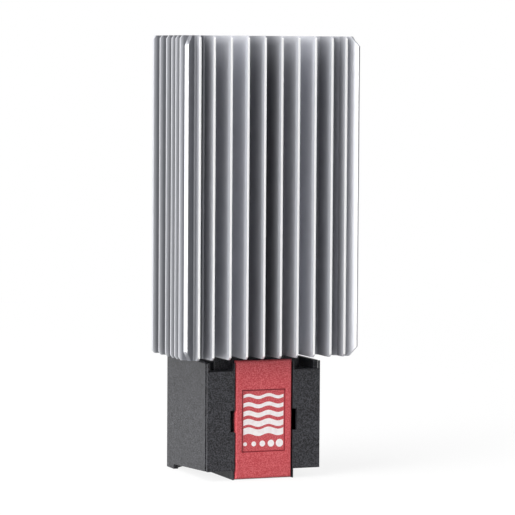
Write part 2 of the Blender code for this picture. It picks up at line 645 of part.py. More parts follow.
def make_front_carrier():
    """Front walls, floor and terminal block housing, moulded as one piece."""
    back = BASE_FRONT + FRONT_WALL
    edge = BASE_FRONT + CARRIER_EDGE
    outer = SHELL_INNER - SEAT_GAP
    inner = outer - FLANGE_WALL
    flange_end = back + FLANGE_LENGTH
    before = BASE_FRONT - FRONT_WALL
    half = [(SHELL_HALF, BASE_FRONT), (SHELL_HALF, edge), (outer, edge), (outer, flange_end),
            (inner, flange_end), (inner, back)]
    carrier = prism("front_carrier", at_depth(mirrored(half)), (WALL_UNDERSIDE, SIDE_WALL_TOP), finish=BLACK)
    join(carrier,
         box("carrier_floor", (SEAT_GAP - outer, outer - SEAT_GAP),
             (back - FRONT_WALL / 2, BASE_REAR - SHELL_WALL - SEAT_GAP), (FLOOR_BOTTOM, FLOOR_TOP)),
         box("block", (-BLOCK_HALF, BLOCK_HALF), (BASE_FRONT + PANEL_RECESS, BLOCK_REAR), (0.0, BLOCK_TOP)),
         box("posts", (SEAT_GAP - BLOCK_HALF, BLOCK_HALF - SEAT_GAP),
             (back - FRONT_WALL / 2, BASE_FRONT + POST_DEPTH), (BLOCK_TOP - BLOCK_WALL, SIDE_WALL_TOP - SEAT_GAP)))
    top = SINK_BOTTOM
    behind_posts = BASE_FRONT + POST_DEPTH + BLOCK_WALL
    ceiling = BLOCK_TOP - BLOCK_WALL
    void = [(before, BLOCK_WALL), (BLOCK_REAR - BLOCK_WALL, BLOCK_WALL), (BLOCK_REAR - BLOCK_WALL, ceiling),
            (behind_posts, ceiling), (behind_posts, top), (before, top)]
    cut(carrier, prism("block_void", [(FRONT_Y + depth, z) for depth, z in void],
                       (-BLOCK_INNER, BLOCK_INNER), "X"))
    for side in (-1, 1):
        recess = sorted((side * BLOCK_HALF, side * (SHELL_HALF - RECESS_LIP)))
        cut(carrier, box("recess", recess, (before, flange_end + BLOCK_WALL), (FRONT_WALL_TOP, top)))
    rebate_half = BLOCK_HALF - BLOCK_RIM
    rebate = box("cover_rebate", (-rebate_half, rebate_half),
                 (before, COVER_REAR + SEAT_GAP), (-BLOCK_WALL, top))
    notch_z = (NOTCH_MIDDLE - NOTCH_HEIGHT / 2, NOTCH_MIDDLE + NOTCH_HEIGHT / 2)
    notch_end = TERMINAL_FRONT
    for side in (-1, 1):
        notch = sorted((side * (rebate_half - SEAT_GAP), side * (BLOCK_HALF + NOTCH_WIDTH)))
        cut(carrier, box("latch_notch", notch, (before, notch_end), notch_z))
    window = BLOCK_HALF + NOTCH_WIDTH / 2
    latch_window = box("latch_window", (-window, window),
                       (COVER_REAR + LATCH_SETBACK, notch_end - SEAT_GAP),
                       (notch_z[0] + SEAT_GAP, notch_z[1] - SEAT_GAP))
    entry = box("cable_entry", (-ENTRY_WIDTH / 2, ENTRY_WIDTH / 2),
                (ENTRY_FRONT, ENTRY_FRONT + ENTRY_DEPTH), (-BLOCK_WALL, 2 * BLOCK_WALL))
    leads = box("lead_passage", (-BLOCK_INNER + BLOCK_WALL, BLOCK_INNER - BLOCK_WALL),
                (TERMINAL_REAR - TERMINAL_DEPTH / 2, BLOCK_REAR - 2 * BLOCK_WALL),
                (BLOCK_TOP - 2 * BLOCK_WALL, BLOCK_TOP + BLOCK_WALL))
    cut(carrier, rebate, latch_window, entry, leads)
    for side in (-1, 1):
        cut(carrier, cylinder("carrier_screw_hole", SMALL_SCREW_SHANK + 3 * SEAT_GAP,
                              (side * PILLAR_X, FRONT_Y + PILLAR_DEPTH), (0.0, 2 * FLOOR_TOP), sides=16))


def make_cover():
    """Red cover with its bevelled face, recessed label panel, top lip and two snap arms."""
    cover = box("red_cover", (-COVER_HALF, COVER_HALF), (BASE_FRONT, COVER_REAR),
                (COVER_BOTTOM, COVER_TOP), RED)
    bevel = cover.modifiers.new("face bevel", "BEVEL")
    bevel.width = COVER_BEVEL
    bevel.segments = 2
    bevel.limit_method = "WEIGHT"
    weights = cover.data.attributes.new("bevel_weight_edge", "FLOAT", "EDGE")
    for edge in cover.data.edges:
        ends = [cover.data.vertices[index].co for index in edge.vertices]
        weights.data[edge.index].value = float(all(end.y < 0.0 for end in ends))
    panel = box("label_panel", (-PANEL_WIDTH / 2, PANEL_WIDTH / 2),
                (BASE_FRONT - PANEL_RECESS, BASE_FRONT + PANEL_RECESS),
                (PANEL_BOTTOM, PANEL_BOTTOM + PANEL_HEIGHT))
    cut(cover, panel)
    bite = COVER_THICKNESS / 2
    outer = BLOCK_INNER - SEAT_GAP
    lip_top = COVER_TOP - COVER_BEVEL
    join(cover, box("top_lip", (-outer, outer), (COVER_REAR - bite, BASE_FRONT + POST_DEPTH),
                    (lip_top - COVER_LIP, lip_top)))
    arm_end = COVER_REAR + ARM_LENGTH
    latch = COVER_REAR + LATCH_SETBACK + SEAT_GAP
    arm = [(outer - ARM_THICKNESS, COVER_REAR - bite), (outer, COVER_REAR - bite), (outer, latch),
           (outer + ARM_HOOK, latch + SEAT_GAP), (outer, arm_end), (outer - ARM_THICKNESS, arm_end)]
    for side in (-1, 1):
        placed = [(side * x, depth) for x, depth in arm]
        join(cover, prism("snap_arm", at_depth(placed),
                          (NOTCH_MIDDLE - ARM_HEIGHT / 2, NOTCH_MIDDLE + ARM_HEIGHT / 2)))


def make_grommet():
    """Rubber edging of the cable entry, a lipped sleeve."""
    x = ENTRY_WIDTH / 2 - SEAT_GAP
    depth = (ENTRY_FRONT + SEAT_GAP, ENTRY_FRONT + ENTRY_DEPTH - SEAT_GAP)
    grommet = box("entry_grommet", (-x, x), depth, (SEAT_GAP, BLOCK_WALL + SEAT_GAP + GROMMET_LIP), RUBBER)
    lip = box("grommet_lip", (-x - GROMMET_LIP, x + GROMMET_LIP),
              (depth[0] - GROMMET_LIP, depth[1] + GROMMET_LIP),
              (BLOCK_WALL + SEAT_GAP, BLOCK_WALL + SEAT_GAP + GROMMET_LIP))
    join(grommet, lip)
    hole = box("grommet_hole", (-x + GROMMET_WALL, x - GROMMET_WALL),
               (depth[0] + GROMMET_WALL, depth[1] - GROMMET_WALL), (-BLOCK_WALL, 3 * BLOCK_WALL))
    cut(grommet, hole)


def make_terminals():
    """Terminal body with three front pockets, and the bar and spring of each pole."""
    body = box("terminal_block", (-TERMINAL_HALF, TERMINAL_HALF), (TERMINAL_FRONT, TERMINAL_REAR),
               (TERMINAL_BOTTOM, TERMINAL_TOP), GREY)
    pocket_z = (TERMINAL_BOTTOM + POCKET_MARGIN, TERMINAL_TOP - POCKET_MARGIN)
    pocket_rear = TERMINAL_FRONT + POCKET_DEPTH
    bar_rear = pocket_rear - SEAT_GAP
    bar_front = bar_rear - CLAMP_SHEET
    funnel = (TERMINAL_FRONT + bar_front) / 2
    lug_top = BLOCK_TOP
    for index, pole in enumerate(POLES):
        x = (index - 1) * POLE_PITCH
        span = (x - CLAMP_WIDTH / 2, x + CLAMP_WIDTH / 2)
        pocket = box("pocket", (x - POCKET_WIDTH / 2, x + POCKET_WIDTH / 2),
                     (TERMINAL_FRONT - POCKET_MARGIN, pocket_rear), pocket_z)
        wire_way = cylinder("wire_funnel", FUNNEL_DIAMETER, (x, FRONT_Y + funnel),
                            (TERMINAL_BOTTOM - POCKET_MARGIN, pocket_z[0] + POCKET_MARGIN), sides=16)
        lug_slot = box("lug_slot", (span[0] - SEAT_GAP, span[1] + SEAT_GAP),
                       (bar_front - SEAT_GAP, pocket_rear), (pocket_z[1] - POCKET_MARGIN,
                                                             TERMINAL_TOP + POCKET_MARGIN))
        cut(body, pocket, wire_way, lug_slot)
        foot = bar_front - CLAMP_LUG
        low = pocket_z[0] + SEAT_GAP
        bar = [(foot, low), (bar_rear, low), (bar_rear, lug_top), (bar_front, lug_top),
               (bar_front, low + CLAMP_SHEET), (foot, low + CLAMP_SHEET)]
        prism(f"clamp_bar_{pole}", [(FRONT_Y + d, z) for d, z in bar], span, "X", BRASS)
        spring_front = TERMINAL_FRONT + SEAT_GAP
        spring_rear = bar_front - SEAT_GAP
        radius = (spring_rear - spring_front) / 2
        crown = (FRONT_Y + spring_front + radius, pocket_z[1] - SEAT_GAP - radius)
        toe = low + CLAMP_SHEET + SEAT_GAP
        outer = arc(crown, radius, 180, 0, 8)
        inner = arc(crown, radius - SPRING_SHEET, 0, 180, 8)
        spring = ([(FRONT_Y + spring_front, toe)] + outer + [(FRONT_Y + spring_rear, toe)]
                  + [(FRONT_Y + spring_rear - SPRING_SHEET, toe)] + inner
                  + [(FRONT_Y + spring_front + SPRING_SHEET, toe)])
        prism(f"clamp_spring_{pole}", spring, span, "X", STEEL)


def s_bend(start, end, rise, steps=8):
    """Points of a lead that leaves and arrives vertically."""
    points = [Vector(start), Vector(start) + Vector((0, 0, rise))]
    low = points[1]
    high = Vector(end) - Vector((0, 0, rise))
    for step in range(1, steps):
        t = step / steps
        ease = t * t * (3 - 2 * t)
        points.append(Vector((low.x + (high.x - low.x) * ease, low.y + (high.y - low.y) * ease,
                              low.z + (high.z - low.z) * t)))
    return points + [high, Vector(end)]


def make_leads():
    """Leads from the clamp bars to the contact tabs and to the earth lug."""
    bar = TERMINAL_FRONT + POCKET_DEPTH - SEAT_GAP - CLAMP_SHEET / 2
    start_z = BLOCK_TOP + SEAT_GAP
    half_strip = STRIP_THICKNESS / 2
    ends = {
        "live": (-TAB_OFFSET, FRONT_STRIP + half_strip, TAB_BOTTOM - SEAT_GAP),
        "neutral": (TAB_OFFSET, REAR_STRIP + half_strip, TAB_BOTTOM - SEAT_GAP),
        "earth": (0.0, EARTH_PORT - LUG_RADIUS - LEAD_DIAMETER, TAB_BOTTOM),
    }
    finishes = {"live": BROWN, "neutral": BLUE, "earth": GREEN}
    for index, pole in enumerate(POLES):
        x = (index - 1) * POLE_PITCH
        end_x, end_depth, end_z = ends[pole]
        wire(f"lead_{pole}", s_bend((x, FRONT_Y + bar, start_z), (end_x, FRONT_Y + end_depth, end_z),
                                    SEAT_GAP), LEAD_DIAMETER, finishes[pole])


def screw(name, shank, head, length, place, finish):
    """A pan-head screw along +Z of its own frame, its head's seat at the origin, with a cross slot."""
    half = head / 2
    profile = [(0.0, length), (shank * 0.25, length), (shank / 2, length - shank / 2), (shank / 2, 0.0),
               (half, 0.0), (half, -SCREW_HEAD_HEIGHT * 0.55), (half * 0.75, -SCREW_HEAD_HEIGHT),
               (0.0, -SCREW_HEAD_HEIGHT)]
    made = turned(name, profile, place, finish)
    slot_width = shank * 0.35
    for turn in (0, 90):
        slot = box("slot", (-half * 0.6, half * 0.6), (-slot_width / 2, slot_width / 2),
                   (-2 * SCREW_HEAD_HEIGHT, -SCREW_HEAD_HEIGHT * 0.45))
        slot.matrix_world = (place @ Matrix.Rotation(math.radians(turn), 4, "Z")
                             @ Matrix.Translation((0, 0, -SCREW_HEAD_HEIGHT * 1.225)))
        cut(made, slot)
    return made


def washer(name, outer, inner, centre, bottom, thickness, finish):
    """A flat ring."""
    ring = cylinder(name, outer, centre, (bottom, bottom + thickness), finish=finish)
    cut(ring, cylinder("washer_bore", inner, centre, (bottom - thickness, bottom + 2 * thickness), sides=16))
    return ring


def make_fasteners():
    """Screws of the heat sink, earth lug, carrier and clip, with their washers."""
    head_seat = DECK_BOTTOM - SEAT_GAP - WASHER_THICKNESS - SEAT_GAP
    for side, hand in ((-1, "left"), (1, "right")):
        x, y = side * PORT_X, FRONT_Y + PORT_MIDDLE
        length = SINK_BOTTOM - head_seat + SINK_SCREW_GRIP
        screw(f"sink_screw_{hand}", SINK_SCREW_SHANK, SINK_SCREW_HEAD, length,
              Matrix.Translation((x, y, head_seat)), STEEL)
        washer(f"sink_washer_{hand}", SINK_SCREW_HEAD, SINK_SCREW_SHANK + 2 * SEAT_GAP, (x, y),
               DECK_BOTTOM - SEAT_GAP - WASHER_THICKNESS, WASHER_THICKNESS, STEEL)
        screw(f"carrier_screw_{hand}", SMALL_SCREW_SHANK, SMALL_SCREW_HEAD, PILLAR_DIAMETER * 2,
              Matrix.Translation((side * PILLAR_X, FRONT_Y + PILLAR_DEPTH, FLOOR_BOTTOM - SEAT_GAP)), STEEL)
        rearwards = Matrix.Rotation(math.radians(-90), 4, "X")
        seat = BASE_REAR - 2 * SHELL_WALL - SEAT_GAP
        place = Matrix.Translation((side * CLIP_SCREW_SPACING / 2, FRONT_Y + seat, CLIP_SCREW_HEIGHT))
        screw(f"clip_screw_{hand}", SMALL_SCREW_SHANK, SMALL_SCREW_HEAD, CLIP_REAR - SEAT_GAP - seat,
              place @ rearwards, STEEL)
    lug_bottom = SINK_BOTTOM - SEAT_GAP - LUG_THICKNESS
    seat = lug_bottom - SEAT_GAP
    screw("earth_screw", SINK_SCREW_SHANK, SINK_SCREW_HEAD, SINK_SCREW_GRIP,
          Matrix.Translation((0.0, FRONT_Y + EARTH_PORT, seat)), BRASS)
    barrel_y = FRONT_Y + EARTH_PORT - LUG_RADIUS - LEAD_DIAMETER
    centre = (0.0, FRONT_Y + EARTH_PORT)
    lug = washer("earth_lug", 2 * LUG_RADIUS, SINK_SCREW_SHANK + 2 * SEAT_GAP, centre, lug_bottom,
                 LUG_THICKNESS, TINNED)
    tongue_half = LEAD_DIAMETER / 2
    join(lug, box("lug_tongue", (-tongue_half, tongue_half),
                  (barrel_y - FRONT_Y, EARTH_PORT - LUG_RADIUS * 0.8),
                  (lug_bottom, lug_bottom + LUG_THICKNESS)))
    join(lug, cylinder("lug_barrel", LEAD_DIAMETER * 1.6, (0.0, barrel_y),
                       (TAB_BOTTOM + SEAT_GAP, lug_bottom + LUG_THICKNESS), sides=16))


def make_rail_clip():
    """One-piece clip: plate, fixed upper hook, and a lower hook on a tongue between two slits."""
    plate_bottom = RAIL_BOTTOM - HOOK_HEIGHT
    front = FRONT_Y + CLIP_FRONT
    back = FRONT_Y + CLIP_REAR
    end = back + RAIL_SLOT + HOOK_LIP
    slot_end = back + RAIL_SLOT
    side = [
        (front, plate_bottom), (end, plate_bottom), (end, RAIL_BOTTOM + HOOK_REACH),
        (slot_end, RAIL_BOTTOM + HOOK_REACH), (slot_end, RAIL_BOTTOM), (back, RAIL_BOTTOM),
        (back, RAIL_TOP), (slot_end, RAIL_TOP), (slot_end, RAIL_TOP - HOOK_REACH),
        (end, RAIL_TOP - HOOK_REACH), (end, RAIL_TOP + HOOK_HEIGHT / 2),
        (slot_end, RAIL_TOP + HOOK_HEIGHT), (front, RAIL_TOP + HOOK_HEIGHT),
    ]
    clip = prism("rail_clip", side, (-CLIP_WIDTH / 2, CLIP_WIDTH / 2), "X", BLACK)
    tongue = TONGUE_WIDTH / 2
    outside = CLIP_WIDTH / 2 + TONGUE_SLIT
    for sign in (-1, 1):
        edge = sign * tongue
        slit = sorted((edge, edge + sign * TONGUE_SLIT))
        cut(clip, box("tongue_slit", slit, (CLIP_FRONT - SHELL_WALL, CLIP_REAR + SHELL_WALL),
                      (0.0, plate_bottom + TONGUE_LENGTH)))
        hook_side = sorted((edge, sign * outside))
        cut(clip, box("hook_side", hook_side, (CLIP_REAR, TOTAL_DEPTH + SHELL_WALL),
                      (0.0, RAIL_BOTTOM + 2 * HOOK_REACH)))
        cut(clip, cylinder("clip_hole", SMALL_SCREW_SHANK + 3 * SEAT_GAP,
                           (sign * CLIP_SCREW_SPACING / 2, CLIP_SCREW_HEIGHT),
                           (front - SHELL_WALL, back + SHELL_WALL), "Y", sides=16))
    tab = [(back - CLIP_PLATE / 2, plate_bottom + HOOK_HEIGHT / 2), (end, plate_bottom),
           (end, RAIL_SLOT / 2), (end - HOOK_LIP, RAIL_SLOT / 2)]
    join(clip, prism("release_tab", tab, (-tongue / 2, tongue / 2), "X"))


clear_scene()
PARTS = new_collection("enclosure_heater")
CUTTERS = new_collection("cutters")
ALUMINIUM = material("satin_aluminium", (0.62, 0.63, 0.66), 0.38, 0.9)
ALUMINIUM_PLAIN = material("plain_aluminium", (0.6, 0.6, 0.6), 0.45, 0.9)
BLACK = material("black_polyamide", (0.03, 0.03, 0.033), 0.55)
RED = material("red_plastic", (0.52, 0.07, 0.085), 0.45)
GREY = material("grey_polyamide", (0.45, 0.46, 0.47), 0.5)
RUBBER = material("entry_rubber", (0.02, 0.02, 0.02), 0.8)
SILICONE = material("white_silicone", (0.8, 0.79, 0.76), 0.6)
CERAMIC = material("heating_ceramic", (0.24, 0.22, 0.21), 0.8)
FILM = material("amber_film", (0.55, 0.25, 0.04), 0.3)
BRASS = material("brass", (0.72, 0.52, 0.2), 0.35, 1.0)
STEEL = material("zinc_plated_steel", (0.66, 0.67, 0.68), 0.35, 1.0)
TINNED = material("tinned_copper", (0.74, 0.73, 0.7), 0.35, 1.0)
BROWN = material("brown_insulation", (0.16, 0.06, 0.025), 0.45)
BLUE = material("blue_insulation", (0.03, 0.1, 0.42), 0.45)
GREEN = material("green_insulation", (0.05, 0.3, 0.07), 0.45)

make_heat_sink()
make_stack()
make_plugs()
make_base_shell()
make_front_carrier()
make_cover()
make_grommet()
make_terminals()
make_leads()
make_fasteners()
make_rail_clip()
bpy.context.view_layer.update()
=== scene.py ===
"""Looks of the enclosure heater: its finishes, softened edges, label print and studio."""

import logging
import math
from dataclasses import dataclass
from enum import Enum

import bmesh
import bpy
from mathutils import Matrix, Vector


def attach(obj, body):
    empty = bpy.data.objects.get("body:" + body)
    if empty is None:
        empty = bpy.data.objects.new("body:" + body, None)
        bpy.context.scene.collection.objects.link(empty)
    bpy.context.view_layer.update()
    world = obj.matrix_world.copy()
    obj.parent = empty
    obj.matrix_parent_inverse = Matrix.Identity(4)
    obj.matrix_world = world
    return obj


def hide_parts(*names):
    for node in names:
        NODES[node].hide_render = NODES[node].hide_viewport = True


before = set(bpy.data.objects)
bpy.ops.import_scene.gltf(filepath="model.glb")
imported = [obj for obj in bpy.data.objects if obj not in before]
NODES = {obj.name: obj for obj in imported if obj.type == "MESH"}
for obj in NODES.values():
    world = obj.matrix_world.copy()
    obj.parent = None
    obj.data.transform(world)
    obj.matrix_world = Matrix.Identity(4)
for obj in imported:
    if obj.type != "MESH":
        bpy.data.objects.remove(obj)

LOG = logging.getLogger("enclosure_heater")
BODY = "root"

Colour = tuple[float, float, float]
Pair = tuple[float, float]
Triple = tuple[float, float, float]
EVEN: Triple = (1.0, 1.0, 1.0)


class Signal:
    """A number on a node's socket, on which Python's arithmetic adds Math nodes."""

    def __init__(self, graph: "NodeSheet", socket: bpy.types.NodeSocket) -> None:
        """Wrap the output socket that carries the number, with the sheet that it belongs to."""
        self.graph = graph
        self.socket = socket

    def _math(self, operation: str, *values: "Signal | float") -> "Signal":
        """Add a Math node.

        Args:
            operation: The node's operation.
            values: The numbers or signals of its inputs, in order.

        Returns:
            The node's result.
        """
        inputs = dict(enumerate(values))
        node = self.graph.node("ShaderNodeMath", {"operation": operation}, inputs)
        return Signal(self.graph, node.outputs[0])

    def __add__(self, other: "Signal | float") -> "Signal":
        """Return self + other."""
        return self._math("ADD", self, other)

    __radd__ = __add__

    def __sub__(self, other: "Signal | float") -> "Signal":
        """Return self - other."""
        return self._math("SUBTRACT", self, other)

    def __rsub__(self, other: float) -> "Signal":
        """Return other - self."""
        return self._math("SUBTRACT", other, self)

    def __mul__(self, other: "Signal | float") -> "Signal":
        """Return self * other."""
        return self._math("MULTIPLY", self, other)

    __rmul__ = __mul__

    def __truediv__(self, other: "Signal | float") -> "Signal":
        """Return self / other."""
        return self._math("DIVIDE", self, other)

    def __pow__(self, other: "Signal | float") -> "Signal":
        """Return self to the power of other."""
        return self._math("POWER", self, other)

    def __gt__(self, other: "Signal | float") -> "Signal":
        """Return 1 where self is greater than other, and 0 elsewhere."""
        return self._math("GREATER_THAN", self, other)

    def __lt__(self, other: "Signal | float") -> "Signal":
        """Return 1 where self is less than other, and 0 elsewhere."""
        return self._math("LESS_THAN", self, other)

    def clamped(self) -> "Signal":
        """Return self held between 0 and 1."""
        return self._math("MINIMUM", self._math("MAXIMUM", self, 0.0), 1.0)

    def size(self) -> "Signal":
        """Return self without its sign."""
        return self._math("ABSOLUTE", self)

    def lower(self, other: "Signal | float") -> "Signal":
        """Return the lower of self and other."""
        return self._math("MINIMUM", self, other)

    def higher(self, other: "Signal | float") -> "Signal":
        """Return the higher of self and other."""
        return self._math("MAXIMUM", self, other)

    def sine(self) -> "Signal":
        """Return the sine of self."""
        return self._math("SINE", self)


class NodeSheet:
    """A node tree, with one method that adds any node to it."""

    def __init__(self, tree: bpy.types.NodeTree) -> None:
        """Wrap the tree that the nodes go into."""
        self.tree = tree

    def node(
        self,
        kind: str,
        settings: dict[str, object] | None = None,
        inputs: dict[str | int, object] | None = None,
    ) -> bpy.types.Node:
        """Add a node.

        Args:
            kind: The node's type.
            settings: Its properties.
            inputs: The values, sockets or signals of its sockets.

        Returns:
            The new node.
        """
        node = self.tree.nodes.new(kind)
        for key, value in (settings or {}).items():
            setattr(node, key, value)
        for key, value in (inputs or {}).items():
            self.feed(node.inputs[key], value)
        return node

    def feed(self, socket: bpy.types.NodeSocket, value: object) -> None:
        """Link or set a socket.

        Args:
            socket: The input socket.
            value: A signal, an output socket or a plain value.
        """
        if isinstance(value, Signal):
            value = value.socket
        if isinstance(value, bpy.types.NodeSocket):
            self.tree.links.new(value, socket)
        elif isinstance(value, tuple) and len(value) == 3 and len(socket.default_value) == 4:
            socket.default_value = (*value, 1.0)
        else:
            socket.default_value = value


class Graph(NodeSheet):
    """The node tree of one material, with its Principled shader."""

    def __init__(self, name: str) -> None:
        """Make an empty material.

        Args:
            name: The material's name.
        """
        self.material = bpy.data.materials.new(name)
        self.material.use_nodes = True
        super().__init__(self.material.node_tree)
        self.shader = self.tree.nodes["Principled BSDF"]
        self.output = self.tree.nodes["Material Output"]

    def place(self, scale: Triple = EVEN) -> bpy.types.NodeSocket:
        """Add the place on the object, stretched along its axes.

        Args:
            scale: The stretch along X, Y and Z.

        Returns:
            The place's socket.
        """
        coordinates = self.node("ShaderNodeTexCoord").outputs["Object"]
        mapping = self.node("ShaderNodeMapping", None, {"Vector": coordinates, "Scale": scale})
        return mapping.outputs["Vector"]

    def axes(self) -> tuple[Signal, Signal, Signal]:
        """Return X, Y and Z of the place on the object as signals."""
        split = self.node("ShaderNodeSeparateXYZ", None, {"Vector": self.place()})
        return tuple(Signal(self, output) for output in split.outputs)

    def noise(
        self,
        scale: float,
        detail: float = 2.0,
        stretch: Triple = EVEN,
        roughness: float = 0.5,
    ) -> Signal:
        """Add fractal noise.

        Args:
            scale: Bumps per metre.
            detail: How many octaves finer it goes.
            stretch: How much faster it runs along X, Y and Z.
            roughness: How strong the finer octaves are.

        Returns:
            The noise, from 0 to 1.
        """
        node = self.node(
            "ShaderNodeTexNoise",
            None,
            {"Vector": self.place(stretch), "Scale": scale, "Detail": detail, "Roughness": roughness},
        )
        return Signal(self, node.outputs["Fac"])

    def blend(self, mask: Signal, low: object, high: object) -> bpy.types.NodeSocket:
        """Mix two colours.

        Args:
            mask: 0 gives the low colour and 1 the high one.
            low: A colour or a colour socket.
            high: A colour or a colour socket.

        Returns:
            The mixed colour's socket.
        """
        mix = self.node("ShaderNodeMix", {"data_type": "RGBA"}, {0: mask})
        self.feed(mix.inputs[6], low)
        self.feed(mix.inputs[7], high)
        return mix.outputs[2]

    def bump(self, height: Signal, distance: float, strength: float = 1.0) -> None:
        """Raise the surface by a height.

        Args:
            height: The height, from 0 to 1.
            distance: How high 1 is, in metres.
            strength: How much of it shows.
        """
        raised = {"Height": height, "Distance": distance, "Strength": strength}
        node = self.node("ShaderNodeBump", None, raised)
        self.feed(self.shader.inputs["Normal"], node.outputs["Normal"])

    def surface(self, **values: object) -> None:
        """Set the Principled shader's sockets, named with underscores for spaces."""
        for name, value in values.items():
            self.feed(self.shader.inputs[name.replace("_", " ")], value)


class Recipe(NodeSheet):
    """A Geometry Nodes tree whose named inputs are sizes in metres, or counts."""

    def __init__(self, name: str, **sizes: float) -> None:
        """Make a tree with its inputs and its geometry output.

        Args:
            name: The tree's name.
            sizes: The inputs' names and values; a whole number makes a count.
        """
        super().__init__(bpy.data.node_groups.new(name, "GeometryNodeTree"))
        self.sizes = sizes
        self.tree.interface.new_socket("Geometry", in_out="OUTPUT", socket_type="NodeSocketGeometry")
        for size, value in sizes.items():
            kind = "NodeSocketInt" if isinstance(value, int) else "NodeSocketFloat"
            self.tree.interface.new_socket(size, in_out="INPUT", socket_type=kind)
        self.inputs = self.tree.nodes.new("NodeGroupInput")

    def size(self, name: str) -> Signal:
        """Return a named input as a signal."""
        return Signal(self, self.inputs.outputs[name])

    def vector(self, x: object = 0.0, y: object = 0.0, z: object = 0.0) -> bpy.types.NodeSocket:
        """Return a vector made of three numbers or signals."""
        return self.node("ShaderNodeCombineXYZ", None, {"X": x, "Y": y, "Z": z}).outputs[0]

    def share(self, count: Signal) -> Signal:
        """Return how far along a row of so many points each one is, from 0 to 1."""
        return Signal(self, self.node("GeometryNodeInputIndex").outputs[0]) / (count - 1.0)

    def row(self, count: Signal, start: object, step: object) -> bpy.types.NodeSocket:
        """Return a row of so many points from a start, each one step from the last."""
        line = {"Count": count, "Start Location": start, "Offset": step}
        return self.node("GeometryNodeMeshLine", None, line).outputs[0]

    def copies(
        self,
        points: object,
        item: object,
        scale: object,
        turn: Triple = (0.0, 0.0, 0.0),
    ) -> bpy.types.NodeSocket:
        """Copy an item onto points.

        Args:
            points: The geometry that holds the points.
            item: The geometry to copy.
            scale: Each copy's scale.
            turn: Each copy's rotation, in radians.

        Returns:
            The copies, realized.
        """
        spread = {"Points": points, "Instance": item, "Scale": scale, "Rotation": turn}
        placed = self.node("GeometryNodeInstanceOnPoints", None, spread).outputs[0]
        return self.node("GeometryNodeRealizeInstances", None, {0: placed}).outputs[0]

    def mesh(self, geometry: list[bpy.types.NodeSocket], part: "Part") -> bpy.types.Mesh:
        """Close the tree with its material and return what it makes as a plain mesh.

        Args:
            geometry: The geometries that it joins.
            part: The finish.

        Returns:
            The mesh, in its place.
        """
        joined = self.node("GeometryNodeJoinGeometry")
        for each in geometry:
            self.feed(joined.inputs[0], each)
        whole = self.node("GeometryNodeRealizeInstances", None, {0: joined.outputs[0]}).outputs[0]
        worn = {"Geometry": whole, "Material": part.material}
        dressed = self.node("GeometryNodeSetMaterial", None, worn)
        output = self.tree.nodes.new("NodeGroupOutput")
        self.feed(output.inputs[0], dressed.outputs[0])
        draft = bpy.data.objects.new(self.tree.name, bpy.data.meshes.new(self.tree.name))
        bpy.context.scene.collection.objects.link(draft)
        modifier = draft.modifiers.new("recipe", "NODES")
        modifier.node_group = self.tree
        for item in self.tree.interface.items_tree:
            if item.in_out == "INPUT":
                modifier[item.identifier] = self.sizes[item.name]
        return applied(draft)


